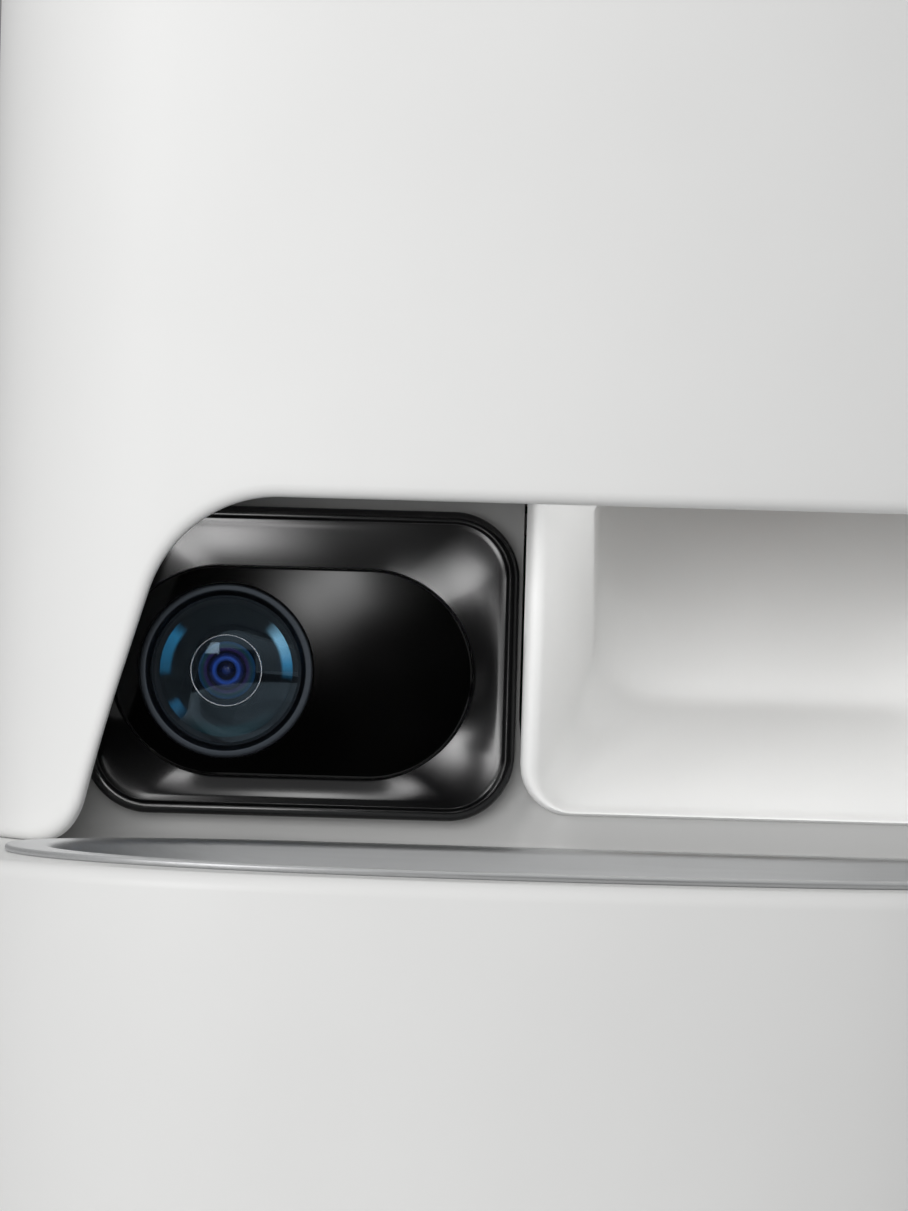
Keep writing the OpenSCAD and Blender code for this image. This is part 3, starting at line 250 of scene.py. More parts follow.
metal("brushed_stainless", "#d4d5d6", "#e0e1e2", 0.46, 0.7, 30.0, 0.004)  # bowl: light streaks along x
metal("plain_steel", "#a9abad", "#bfc1c3", 0.35, 1.2, 6.0, 0.004)  # screws, pins, motor: greyer steel
metal("anodised_ring", "#34383d", "#40454b", 0.36, 0.6, 3.0, 0.002)  # lens ring: dark blue-grey metal
metal("bright_aluminium", "#c3c7cc", "#dfe2e6", 0.16, 0.6, 3.0, 0.001)  # thin ring: a bright line
metal("brass", "#a8863f", "#c2a056", 0.3, 0.9, 4.0, 0.003)  # pinion, contacts: warm yellow
print("finishes:", len(finishes))

# %% [markdown]
# The lens has a clear glass dome. Behind it the front element carries an anti-reflection coating. Its green, violet
# and blue reflected rings round a dark pupil are painted into the element's colour as painted reflections.

# %% Glass
LENS_AXIS = tuple((0.5 * (edges("lens_ring")[0] + edges("lens_ring")[1])).tolist())


def rings_round_lens(tree, stops, reach_mm):
    """Colour by the distance from the lens axis: the length of (x, z) about the axis over a reach."""
    where = add_node(tree, "ShaderNodeTexCoord")
    centred = add_node(tree, "ShaderNodeMapping", {
        "Location": (-LENS_AXIS[0] * MM, 0.0, -LENS_AXIS[2] * MM)}, Vector=where.outputs["Object"])
    flat = add_node(tree, "ShaderNodeVectorMath", {"operation": "MULTIPLY"}, centred.outputs["Vector"])
    flat.inputs[1].default_value = (1000.0 / reach_mm, 0.0, 1000.0 / reach_mm)
    length = add_node(tree, "ShaderNodeVectorMath", {"operation": "LENGTH"}, flat.outputs["Vector"])
    return colour_stops(tree, length.outputs["Value"], stops), centred


tree, shader = new_finish("coated_element", "#0a1330", 0.22, IOR=1.6)
# painted reflections: the coloured rings and the brighter blue core are painted into the base colour
painted_ring_reflections, _ = rings_round_lens(tree, [
    (0.0, "#16306e"), (0.16, "#0a1233"), (0.3, "#04060f"), (0.42, "#2b4fa8"), (0.5, "#14204d"), (0.62, "#0b0d18"),
    (0.72, "#2d2455"), (0.82, "#173a3c"), (0.92, "#1c3f66"), (1.0, "#0b1018")], 4.2)
tree.links.new(painted_ring_reflections, shader.inputs["Base Color"])

tree, shader = new_finish("dome_glass", "#04070a", 0.03, IOR=2.0, Alpha=0.38, Specular_Tint=linear("#b9d6ea"),
                          Specular_IOR_Level=1.0)
polish = add_node(tree, "ShaderNodeMapRange", {"To Min": 0.02, "To Max": 0.05}, Value=object_noise(tree, 6.0))
tree.links.new(polish.outputs["Result"], shader.inputs["Roughness"])
print("lens axis", [round(v, 1) for v in LENS_AXIS])

# %% [markdown]
# The barrel's lacquered edge carries painted reflections: blue flares, painted into its colour, that change with
# the angle round the axis. A ring-shaped mask keeps them at the edge, and the rest stays dark.

# %% Edge flare, a painted reflection


def painted_edge_reflection(name, dark, reach_mm, start):
    """Lacquered edge under the dome: painted reflections, blue by the angle round the lens axis."""
    tree = finishes[name].node_tree
    shader = tree.nodes["Principled BSDF"]
    band, centred = rings_round_lens(tree, [(0.0, "#000000"), (start, "#000000"), (start + 0.04, "#ffffff"),
                                            (0.96, "#ffffff"), (1.0, "#000000")], reach_mm)
    part = add_node(tree, "ShaderNodeSeparateXYZ", Vector=centred.outputs["Vector"])
    angle = add_node(tree, "ShaderNodeMath", {"operation": "ARCTAN2"}, part.outputs["Z"], part.outputs["X"])
    turn = add_node(tree, "ShaderNodeMapRange", {"From Min": -math.pi, "From Max": math.pi},
                    Value=angle.outputs["Value"])
    flare = colour_stops(tree, turn.outputs["Result"], [
        (0.0, "#1a5c80"), (0.02, dark), (0.08, dark), (0.10, "#1d5f86"), (0.14, dark), (0.2, "#0d2a30"),
        (0.3, "#0d2a30"), (0.4, dark), (0.48, dark), (0.52, "#2f86b6"), (0.59, "#8fcdf0"), (0.635, dark),
        (0.875, dark), (0.91, "#2b7fae"), (1.0, "#1a5c80")])
    mixed = add_node(tree, "ShaderNodeMix", {"data_type": "RGBA"}, band)
    mixed.inputs[6].default_value = linear(dark)
    tree.links.new(flare, mixed.inputs[7])
    tree.links.new(mixed.outputs[2], shader.inputs["Base Color"])


painted_edge_reflection("barrel_lacquer", "#06080b", 11.3, 0.67)
print("flare on the barrel's edge")

# %% [markdown]
# ## Surfaces from grids
# A piece is a grid of points: rings one way and columns the other. Closed grids wrap both ways;
# a ring whose points coincide is a pole, and merging doubles closes it.

# %% Mesh helpers
SHARP_DEG = 38.0
MERGE = 2e-6


@contextmanager
def editing(mesh):
    """Opens a mesh for editing and writes it back."""
    shape = bmesh.new()
    shape.from_mesh(mesh)
    yield shape
    shape.to_mesh(mesh)
    shape.free()


def shade(mesh, sharp=SHARP_DEG):
    """Smooth shading; edges sharper than an angle stay sharp."""
    mesh.polygons.foreach_set("use_smooth", np.ones(len(mesh.polygons), bool))
    mesh.set_sharp_from_angle(angle=math.radians(sharp))


def finish_mesh(name, mesh, body, finish, stands_for=(), sharp=SHARP_DEG):
    """Shades a mesh, gives it its finish and lets it ride on a body."""
    shade(mesh, sharp)
    mesh.materials.clear()
    mesh.materials.append(finishes[finish])
    piece = placed(name, mesh)
    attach(piece, body)
    if stands_for:
        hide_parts(*stands_for)
    print(name, len(mesh.polygons), "faces")
    return piece


def add_surface(name, grid, finish, stands_for=(), body="housing", wrap_columns=True, sharp=SHARP_DEG):
    """Quads between neighbouring points of a (rings, columns, 3) grid in millimetres; the rings wrap."""
    rings, columns = grid.shape[:2]
    ids = np.arange(rings * columns).reshape(rings, columns)
    if wrap_columns:
        ids = np.column_stack([ids, ids[:, 0]])
    ids = np.vstack([ids, ids[:1]])
    quads = np.stack([ids[:-1, :-1], ids[:-1, 1:], ids[1:, 1:], ids[1:, :-1]], -1).reshape(-1, 4)
    mesh = bpy.data.meshes.new(name)
    mesh.from_pydata((grid.reshape(-1, 3) * MM).tolist(), [], quads.tolist())
    with editing(mesh) as shape:
        bmesh.ops.remove_doubles(shape, verts=shape.verts, dist=0.1 * MERGE)
        loose = [edge for edge in shape.edges if not edge.link_faces]
        bmesh.ops.delete(shape, geom=loose, context="EDGES")
        bmesh.ops.recalc_face_normals(shape, faces=shape.faces)
    return finish_mesh(name, mesh, body, finish, stands_for, sharp)


# %% [markdown]
# Most outlines here are straight runs and arcs. Each run brings its points and its outward normals, so a
# profile can be carried round any outline, and walls keep their thickness in the corners.

# %% Outline helpers


def arc(centre, radius, start, stop, step=1.2):
    """Points and outward normals of an arc: centre + radius (cos a, sin a), its last point left out."""
    count = max(3, math.ceil(math.radians(abs(stop - start)) * radius / step))
    angle = np.radians(np.linspace(start, stop, count, endpoint=False))
    way = np.column_stack([np.cos(angle), np.sin(angle)])
    return np.array(centre) + radius * way, way


def straight(start, stop, normal, step=6.0):
    """Points of a straight run with one normal, its last point left out."""
    start, stop = np.array(start, float), np.array(stop, float)
    count = max(2, math.ceil(np.linalg.norm(stop - start) / step))
    share = np.linspace(0, 1, count, endpoint=False)[:, None]
    return start + (stop - start) * share, np.tile(normal, (count, 1)).astype(float)


def joined(runs):
    """One closed outline from its runs: points and outward normals."""
    return np.vstack([run[0] for run in runs]), np.vstack([run[1] for run in runs])


def rounded_path(corners, radii, steps=8):
    """Polyline whose inner corners are arcs: each arc is tangent to its two sides."""
    corners = np.array(corners, float)
    path = [corners[:1]]
    for before, corner, after, radius in zip(corners, corners[1:], corners[2:], radii):
        a = (before - corner) / np.linalg.norm(before - corner)
        b = (after - corner) / np.linalg.norm(after - corner)
        half = 0.5 * math.acos(np.clip(a @ b, -1, 1))
        centre = corner + (a + b) / np.linalg.norm(a + b) * radius / math.sin(half)
        first = corner + a * radius / math.tan(half) - centre
        side = corner + b * radius / math.tan(half) - centre
        across = side - first * (side @ first) / radius**2
        across *= radius / np.linalg.norm(across)
        turn = np.linspace(0, math.pi - 2 * half, steps)[:, None]
        path.append(centre + first * np.cos(turn) + across * np.sin(turn))
    return np.vstack(path + [corners[-1:]])


def spaced(path, count):
    """The same path with its points at even distances."""
    along = np.concatenate([[0], np.cumsum(np.linalg.norm(np.diff(path, axis=0), axis=1))])
    at = np.linspace(0, along[-1], count)
    return np.column_stack([np.interp(at, along, path[:, k]) for k in range(path.shape[1])])


def sweep(outline, profile):
    """Profile (inwards, height) carried round an outline: point - inwards * normal, at its height."""
    points, normals = outline
    flat = points[None] - profile[:, 0, None, None] * normals[None]
    height = np.broadcast_to(profile[:, 1, None, None], flat.shape[:2] + (1,))
    return np.concatenate([flat, height], -1)


def upright(flat, y):
    """(x, z) points at a depth y, as (x, y, z)."""
    return np.stack([flat[..., 0], np.broadcast_to(y, flat.shape[:-1]), flat[..., 1]], -1)


def unit(ways):
    """Rows scaled to length one."""
    return ways / np.linalg.norm(ways, axis=1)[:, None]


def toward_point(ring, centre, shares):
    """Rings between a ring and a point, at shares of the way; share 1 is the pole."""
    return ring[None] + (np.array(centre) - ring)[None] * np.array(shares)[:, None, None]


print("a quarter of 10 mm radius has", len(arc((0, 0), 10, 0, 90)[0]), "points")

# %% [markdown]
# ## Plans
# Seen from above, base, housing and bowl are D shapes: a wide front arc, two front corners, straight
# sides and two rear corners. Each is offset along its own normals, so one list of radii serves all.

# %% Plans
shell_low, shell_high = edges("body_shell")
base_low, base_high = edges("base_shell")
bowl_low, bowl_high = edges("bowl")
DECK_Z = base_high[2]
BODY_TOP = shell_high[2]
WALL = 2.6
SHELL_STEP = 1.6


def d_plan(low, high, front_r, corner_r, rear_r):
    """Half width, front, rear and the three radii of a D."""
    return 0.5 * (high[0] - low[0]), low[1], high[1], front_r, corner_r, rear_r


base_plan = d_plan(base_low, base_high, 130.0, 70.0, 51.0)
body_plan = d_plan(shell_low, shell_high, 150.0, 46.0, 50.0)
bowl_plan = d_plan(bowl_low, bowl_high, 120.0, 60.0, 36.0)


def d_corner(plan):
    """Centre of the right front corner and the angle of the front arc's half, in degrees."""
    half, front, _, front_r, corner_r, _ = plan
    x = half - corner_r
    y = front + front_r - math.sqrt((front_r - corner_r) ** 2 - x**2)
    return x, y, math.degrees(math.asin(x / (front_r - corner_r)))


def d_outline(plan, step=1.2):
    """The D from its rear middle over the left side, the front and the right side back to the rear."""
    half, front, rear, front_r, corner_r, rear_r = plan
    cx, cy, spread = d_corner(plan)
    rx, ry = half - rear_r, rear - rear_r
    return joined([
        straight((0, rear), (-rx, rear), (0, 1)), arc((-rx, ry), rear_r, 90, 180, step),
        straight((-half, ry), (-half, cy), (-1, 0)), arc((-cx, cy), corner_r, 180, 270 - spread, step),
        arc((0, front + front_r), front_r, 270 - spread, 270 + spread, step),
        arc((cx, cy), corner_r, 270 + spread, 360, step), straight((half, cy), (half, ry), (1, 0)),
        arc((rx, ry), rear_r, 0, 90, step), straight((rx, rear), (0, rear), (0, 1))])


def front_y(plan, x):
    """Front face's y over x: the wide arc in the middle and the corner circle beyond it."""
    _, front, _, front_r, corner_r, _ = plan
    cx, cy, spread = d_corner(plan)
    wide = front + front_r - np.sqrt(np.maximum(front_r**2 - x**2, 0))
    corner = cy - np.sqrt(np.maximum(corner_r**2 - (np.abs(x) - cx) ** 2, 0))
    return np.where(np.abs(x) < front_r * math.sin(math.radians(spread)), wide, corner)


print("base", [round(v, 1) for v in base_plan], "body", [round(v, 1) for v in body_plan])

# %% [markdown]
# ## Housing
# The housing is one moulded shell. Its niche has leaning sides, round upper corners and feet that
# flare out along the deck, and its edge rolls inwards. The grid's columns stand on the niche's
# outline and on the deck round the rest; each column climbs from the rolled edge to the top, and
# comes down again inside.

# %% Niche outline
NICHE_H = 48.4
NICHE_FOOT = 71.7
NICHE_LEAN = math.radians(17.3)
NICHE_TOP_R = 19.0
NICHE_FOOT_R = 9.0


def niche_outline(grow=0.0):
    """Left foot to right foot in (x, z): top line, corner arcs, leaning sides and flared feet, with normals."""
    turn = math.pi / 2 - NICHE_LEAN
    draw = math.tan(turn / 2)
    top_x = NICHE_FOOT - NICHE_H * math.tan(NICHE_LEAN) - NICHE_TOP_R * draw
    foot_x = NICHE_FOOT + NICHE_FOOT_R * draw
    a = np.linspace(0, turn, 30)
    way = np.column_stack([np.sin(a), np.cos(a)])
    top = np.array([top_x, NICHE_H - NICHE_TOP_R]) + NICHE_TOP_R * way
    foot = (np.array([foot_x, NICHE_FOOT_R]) - NICHE_FOOT_R * way)[::-1]
    across = np.column_stack([np.linspace(0, top_x, 24, endpoint=False), np.full(24, NICHE_H)])
    side = top[-1] + (foot[0] - top[-1]) * np.linspace(0, 1, 30)[1:-1, None]
    points = np.vstack([across, top, side, foot])
    lean = np.tile(way[-1], (len(side), 1))
    normals = np.vstack([np.tile([0.0, 1.0], (24, 1)), way, lean, way[::-1]])
    points = points + grow * normals
    left = points[:0:-1] * [-1, 1], normals[:0:-1] * [-1, 1]
    return np.vstack([left[0], points]), np.vstack([left[1], normals])


niche, niche_way = niche_outline()
print("niche", round(float(np.ptp(niche[:, 0])), 1), "mm wide at its feet")

# %% [markdown]
# The shell follows that outline. Along the niche its edge turns inwards in a quarter round, so the white
# plastic shows a soft rim. A second small round closes the top under the lid.

# %% Housing shell
EDGE_ROLL = 1.9
TOP_ROLL = 0.5
FOOT_BLEND = 14.0


def ease(value, low, high):
    """Smooth step from 0 at low to 1 at high: 3 s^2 - 2 s^3."""
    s = np.clip((value - low) / (high - low), 0, 1)
    return s * s * (3 - 2 * s)


def housing_shell():
    """Rings: inner edge, roll (offset r - r sin a, depth r - r cos a), climb, top edge, inner wall down."""
    around, around_way = d_outline(body_plan, SHELL_STEP)
    foot_x = niche[-1, 0]
    foot_y = front_y(body_plan, np.array(foot_x)).item()
    beyond = around[:, 1] > foot_y + 0.4
    start = np.argmax(around[:, 0] * beyond > 0)
    order = np.roll(np.arange(len(around)), -start)
    order = order[beyond[order]]
    rest, rest_way = around[order], around_way[order]
    x, z = np.vstack([niche, rest * [1, 0]]).T
    z = z + DECK_Z
    slide, climb = np.vstack([niche_way, np.tile([0.0, 1.0], (len(rest), 1))]).T
    is_front = np.arange(len(x)) < len(niche)
    fixed_y = np.concatenate([np.zeros(len(niche)), rest[:, 1]])
    cx, cy, _ = d_corner(body_plan)
    niche_y = front_y(body_plan, niche[:, 0])
    off_middle = np.abs(niche[:, 0])
    radial = np.column_stack([off_middle - cx, niche_y - cy])
    wide = np.column_stack([off_middle, niche_y - (body_plan[1] + body_plan[3])])
    outward = unit(np.where((off_middle > cx + 2)[:, None], radial, wide))
    outward[:, 0] *= np.sign(niche[:, 0])
    keep = ease(foot_x - off_middle, 0, FOOT_BLEND)[:, None]
    into = np.vstack([unit(keep * np.array([0.0, 1.0]) + (1 - keep) * -outward), -rest_way])

    def ring(offset, depth, height):
        px = x + slide * offset
        py = np.where(is_front, front_y(body_plan, px), fixed_y)
        return np.column_stack([px + into[:, 0] * depth, py + into[:, 1] * depth, height])

    a = np.radians(np.linspace(90, 0, 9))
    roll = [ring(EDGE_ROLL * (1 - math.sin(t)), EDGE_ROLL * (1 - math.cos(t)),
                 z + climb * EDGE_ROLL * (1 - math.sin(t))) for t in a]
    low = z + climb * EDGE_ROLL
    high = BODY_TOP - TOP_ROLL
    rise = [ring(EDGE_ROLL, 0, low + (high - low) * s) for s in (0.01, 0.03, 0.07, 0.15, 0.3, 0.6, 1.0)]
    b = np.radians(np.linspace(15, 90, 4))
    rim = [ring(EDGE_ROLL, TOP_ROLL * (1 - math.cos(t)), high + TOP_ROLL * math.sin(t) + 0 * z) for t in b]
    inside = [ring(EDGE_ROLL, WALL, BODY_TOP + 0 * z), ring(EDGE_ROLL, WALL, low + 0.4)]
    return np.stack([ring(0, WALL, z)] + roll + rise + rim + inside)


housing = add_surface("housing_shell", housing_shell(), "white_abs", ["body_shell"])

# %% [markdown]
# The flat rear carries small openings: the speaker's grille, the power inlet and the reset button's
# hole. The frame's solid already has them, so a rectangle of the new wall gives way to the same
# rectangle of a merged copy of that solid. Both cuts are closed across the wall and meet flush.

# %% Rear panel
PANEL_X, PANEL_Z = (-33.0, 33.0), (64.5, 147.0)
REAR_Y = 100.0


def in_panel(face):
    """Whether a face's middle lies in the rectangle of the rear wall."""
    middle = face.calc_center_median() / MM
    return middle.y > REAR_Y and PANEL_X[0] < middle.x < PANEL_X[1] and PANEL_Z[0] < middle.z < PANEL_Z[1]


def cut_rear(mesh, keep_panel):
    """Splits the rear wall along the rectangle, keeps one side and joins the two skins along the cut."""
    with editing(mesh) as shape:
        bmesh.ops.remove_doubles(shape, verts=shape.verts, dist=MERGE)
        for way, limits in ((Vector((1, 0, 0)), PANEL_X), (Vector((0, 0, 1)), PANEL_Z)):
            for limit in limits:
                rear = [face for face in shape.faces if face.calc_center_median().y > REAR_Y * MM]
                parts = {part for face in rear for part in (face, *face.edges, *face.verts)}
                bmesh.ops.bisect_plane(shape, geom=list(parts), plane_co=way * limit * MM, plane_no=way)
        gone = [face for face in shape.faces if in_panel(face) != keep_panel]
        bmesh.ops.delete(shape, geom=gone, context="FACES")
        bmesh.ops.bridge_loops(shape, edges=[edge for edge in shape.edges if edge.is_boundary])
        bmesh.ops.recalc_face_normals(shape, faces=shape.faces)
        print("open edges:", sum(not edge.is_manifold for edge in shape.edges))


cut_rear(housing.data, False)
shade(housing.data)
panel = nodes["body_shell"].data.copy()
cut_rear(panel, True)
finish_mesh("housing_rear_panel", panel, "housing", "white_abs")
panel.polygons.foreach_set("use_smooth", np.zeros(len(panel.polygons), bool))

# %% [markdown]
# ## Base
# The base is a second moulding: a wall with a soft rim, a flat deck, and a tub that the bowl drops
# into. The deck lies between two outlines, so its rings run straight from one to the other.

# %% Base shell
BASE_RIM = 2.4
TUB_INSET = 5.0
TUB_FLOOR_Z = 31.0
TUB_T = 2.0
bowl_middle = np.array([0.0, 0.5 * (bowl_plan[1] + bowl_plan[2])])


def matched(outline, other):
    """Points of another outline seen from the bowl's middle in the directions of the first one's points."""
    toward_first = outline - bowl_middle
    toward_other = other - bowl_middle
    angle = np.arctan2(toward_other[:, 1], toward_other[:, 0])
    order = np.argsort(angle)
    reach = np.linalg.norm(toward_other, axis=1)
    at = np.arctan2(toward_first[:, 1], toward_first[:, 0])
    radius = np.interp(at, angle[order], reach[order], period=2 * math.pi)
    return bowl_middle + radius[:, None] * np.column_stack([np.cos(at), np.sin(at)])


def base_rings():
    """Wall, rounded rim, deck, tub wall and floor to a pole; then the same back below, two walls thick."""
    outline = d_outline(base_plan, SHELL_STEP)
    foot = base_low[2]
    outside = rounded_path([(WALL, foot), (0, foot), (0, DECK_Z), (12, DECK_Z)], [0.8, BASE_RIM])[:-1]
    wall = sweep(outline, outside)
    bowl_line, bowl_way = d_outline(bowl_plan)
    tub = matched(outline[0], bowl_line - TUB_INSET * bowl_way)
    tub_out = matched(outline[0], bowl_line - (TUB_INSET - TUB_T) * bowl_way)

    def level(flat, z):
        return np.column_stack([flat, np.full(len(flat), z)])

    edge = wall[-1]
    deck = [edge + (level(tub, DECK_Z) - edge) * s for s in (0.3, 0.7, 0.98)]
    well = [level(tub, DECK_Z - 0.8), level(tub, TUB_FLOOR_Z + 2)]
    floor = toward_point(level(tub, TUB_FLOOR_Z), (*bowl_middle, TUB_FLOOR_Z), (0.05, 0.5, 1.0))
    under_z = TUB_FLOOR_Z - TUB_T
    under = toward_point(level(tub_out, under_z), (*bowl_middle, under_z), (1.0, 0.5, 0.0))
    back = [level(tub_out, DECK_Z - WALL), sweep(outline, np.array([[WALL, DECK_Z - WALL]]))[0]]
    return np.concatenate([wall, deck, well, floor, under, back])


add_surface("base_moulding", base_rings(), "base_abs_painted_shade", ["base_shell"])

# %% [markdown]
# ## Bowl
# A drawn steel bowl: a flat flange with a rolled edge, a sloping wall and a round turn into the floor.

# %% Bowl
GAUGE = 0.9
FLANGE = 6.0
BOWL_SLOPE = math.radians(46.0)


def bowl_rings():
    """Upper face from the rolled edge to the floor's pole, then the lower face back out."""
    outline = d_outline(bowl_plan)
    top, low = bowl_high[2], bowl_low[2]
    run = FLANGE + (DECK_Z - low) / math.tan(BOWL_SLOPE)
    upper = rounded_path([(0, top - GAUGE / 2), (0, top), (FLANGE, top), (run, low + GAUGE), (run + 5, low + GAUGE)],
                         [0.4, 2.5, 7.0])
    flat_from = run + 3.2
    upper = upper[upper[:, 0] < flat_from]
    lower = rounded_path([(run + 5, low), (run - 0.4, low), (FLANGE - 0.4, DECK_Z), (0, DECK_Z),
                          (0, top - GAUGE / 2)], [7.5, 2.0, 0.4])[:-1]
    lower = lower[lower[:, 0] < flat_from]
    face, back = sweep(outline, upper), sweep(outline, lower)
    inner = toward_point(face[-1], (*bowl_middle, low + GAUGE), (0.25, 0.6, 1.0))
    outer = toward_point(back[0], (*bowl_middle, low), (1.0, 0.6, 0.25))
    return np.concatenate([face, inner, outer, back])


steel_bowl = add_surface("steel_bowl", bowl_rings(), "brushed_stainless", ["bowl"], "bowl")

# %% [markdown]
# ## Chute
# The chute is a bent duct: its mouth faces the bowl and its top meets the hopper. Each ring of the
# grid is a rounded rectangle spanned between a point of the ceiling and a point of the floor, so the
# floor's slope flows into the back wall with a soft turn. A bull nose joins inside and outside.

# %% Duct helpers
chute_low, chute_high = edges("chute")
CHUTE_X = 0.5 * (chute_low[0] + chute_high[0])
CHUTE_HALF = 0.5 * (chute_high[0] - chute_low[0])
TOP_CORNER = 2.0


def loop(half, length, radius, side=9, corner=9):
    """Rounded rectangles, one per row: across from -half to half, down from 0 to length."""
    a, upper = np.linspace(0, math.pi / 2, corner), TOP_CORNER
    half, length, radius = (np.asarray(v, float)[:, None] for v in (half, length, radius))
    share = np.linspace(0, 1, side + 2)[1:-1]
    top, flat, drop = half - upper, half - radius, length - radius
    across = np.concatenate([top * (2 * share - 1), top + upper * np.sin(a), half + 0 * share,
                             flat + radius * np.cos(a), flat * (1 - 2 * share), -flat - radius * np.sin(a),
                             -half + 0 * share, -top - upper * np.cos(a)], 1)
    down = np.concatenate([0 * half + 0 * share, upper - upper * np.cos(a) + 0 * half, upper + (drop - upper) * share,
                           drop + radius * np.sin(a), length + 0 * share, drop + radius * np.cos(a),
                           drop + (upper - drop) * share, upper - upper * np.sin(a) + 0 * half], 1)
    return across, down


def duct(ceiling, floor, half, radius, lift, sink):
    """Loops from ceiling points (moved up by lift) to floor points (moved down by sink)."""
    span = floor - ceiling
    length = np.linalg.norm(span, axis=1)
    way = span / length[:, None]
    across, down = loop(half, length + lift + sink, radius)
    yz = ceiling[:, None] + way[:, None] * (down - lift[:, None])[..., None]
    return np.concatenate([(CHUTE_X + across)[..., None], yz], -1)


print("chute", round(2 * CHUTE_HALF, 1), "mm wide")

# %% [markdown]
# Seen from the side, the floor climbs a ramp and turns up into the back, and the ceiling turns up too. Both
# lines get the same number of even steps, and a ring stands on each pair of points.

# %% Chute
PANEL_Y = chute_low[1] + 6.0
CHUTE_TOP = 111.5
RIM_W = 2.5
RAMP_RISE = 15.0
RAMP_RUN = 33.0
CHUTE_DRAW = 6.5
DUCT_STEPS = 46
DEEP_CORNER = 8.0


def chute_rings():
    """Outside from the top to the mouth, bull nose, then inside from the mouth to the top."""
    front, lip = chute_low[1] + 1.0, chute_low[2] + 0.8
    top = chute_high[2]
    mouth_z = CHUTE_TOP - RIM_W
    bend_y = PANEL_Y + 5.5
    ramp = (chute_low[1] + 2 + RAMP_RUN, lip + RAMP_RISE)
    back = (chute_high[1] - 2.0, top)
    floor = spaced(rounded_path([(front, lip), (chute_low[1] + 3, lip + 0.3), ramp, back], [4.0, 5.0]), DUCT_STEPS)
    ceiling = spaced(rounded_path([(front, mouth_z), (bend_y, mouth_z), (bend_y, top)], [1.5]), DUCT_STEPS)
    along = np.linspace(0, 1, DUCT_STEPS)
    inwards = (floor[:, 0] - front) / RAMP_RUN
    inner_half = CHUTE_HALF - RIM_W - CHUTE_DRAW * np.clip(inwards, 0, 1)
    open_up = np.clip(along * 4, 0, 1)
    deep = np.clip(inwards - 0.7, 0, 0.6) / 0.6
    zero = np.zeros(DUCT_STEPS)
    inside = duct(ceiling, floor, inner_half, 5.2 + DEEP_CORNER * deep, zero, zero)
    outside = duct(ceiling, floor, inner_half + RIM_W - 0.5 * open_up, 7.0 + DEEP_CORNER * deep,
                   RIM_W - 0.7 * open_up, 0.8 + 1.2 * open_up)
    share = np.array([0.15, 0.32, 0.5, 0.68, 0.85])[:, None, None]
    nose = outside[0][None] * (1 - share) + inside[0][None] * share
    nose[..., 1] -= np.sin(math.pi * share[..., 0]) * 0.95
    return np.concatenate([outside[::-1], nose, inside])


food_chute = add_surface("food_chute", chute_rings(), "chute_abs", ["chute"], sharp=60.0)

# %% [markdown]
# ## Back wall and hood of the niche
# Below the chute the wall swells forward to the chute's lip, and at its left the swelling dies away
# in a soft step. The wall is a height field, y over (x, z), on rays from the chute's middle. The hood
# is the niche's outline, set a little outside the opening and carried from the shell to the wall.

# %% Niche wall
WALL_SWELL = 5.0
SIDE_GAP = 0.55
WALL_TOP = 114.0
WALL_HALF = 82.0
LINER_T = 2.4
FOOT_OVERLAP = 0.3
FOOT_LIFT = 0.35


def wall_y(x, z):
    """The wall's y: flat, with the swelling under the chute and a small cove on the deck."""
    swell = WALL_SWELL * ease(x, chute_low[0] - 1.4, chute_low[0] + 7.6) * (1 - ease(z, DECK_Z + 5.4, DECK_Z + 9.5))
    cove = 1.2 - np.sqrt(np.maximum(1.44 - np.maximum(DECK_Z + 1.2 - z, 0) ** 2, 0))
    return PANEL_Y - swell - cove


def niche_wall_rings():
    """Rays from the chute's outline to the wall's own edges; the first ring turns back into the hole."""
    middle = np.array([CHUTE_X, 0.5 * (chute_low[2] + CHUTE_TOP)])
    across, down = loop([CHUTE_HALF], [CHUTE_TOP - chute_low[2]], [7.0], 24, 12)
    z = CHUTE_TOP - down[0]
    slot = SIDE_GAP * ease(z, 73.0, 79.0) - FOOT_OVERLAP * (1 - ease(z, 68.0, 74.0))
    hole = np.column_stack([CHUTE_X + across[0] + np.sign(across[0]) * slot, z])
    hole[:, 1] += FOOT_LIFT * (1 - ease(z, 66.0, 74.0))
    way = hole - middle
    with np.errstate(divide="ignore"):
        to_side = np.where(way[:, 0] > 0, WALL_HALF - middle[0], -WALL_HALF - middle[0]) / way[:, 0]
        to_level = np.where(way[:, 1] > 0, WALL_TOP - middle[1], DECK_Z - middle[1]) / way[:, 1]
    edge = middle + way * np.minimum(np.abs(to_side), np.abs(to_level))[:, None]
    share = np.linspace(0, 1, 30)[:, None, None] ** 1.6
    flat = hole[None] * (1 - share) + edge[None] * share
    face = upright(flat, wall_y(flat[..., 0], flat[..., 1]))
    back = PANEL_Y + LINER_T
    return np.concatenate([upright(hole, back)[None], face, upright(edge, back)[None]])


add_surface("niche_wall", niche_wall_rings(), "niche_abs_painted_shade", ["niche_liner"], sharp=50.0)

# %% [markdown]
# The hood lines the niche behind the shell. It is an open strip, so its columns don't wrap.

# %% Hood
HOOD_IN, HOOD_OUT = 3.4, 5.0
HOOD_FOOT = 4.5


def hood_rings():
    """The niche's outline at two distances outside the opening, from the shell's inner face to the wall."""
    inner, outer = niche_outline(HOOD_IN)[0], niche_outline(HOOD_OUT)[0]
    keep = inner[:, 1] > HOOD_FOOT
    inner, outer = inner[keep], outer[keep]
    front = front_y(body_plan, inner[:, 0]) + WALL + 0.5
    back = PANEL_Y + 0.3
    rows = [(inner, front), (inner, back), (outer, back), (outer, front)]
    return np.stack([upright(line + np.array([0.0, DECK_Z]), y) for line, y in rows])


add_surface("niche_hood", hood_rings(), "niche_abs_painted_shade", wrap_columns=False, sharp=50.0)

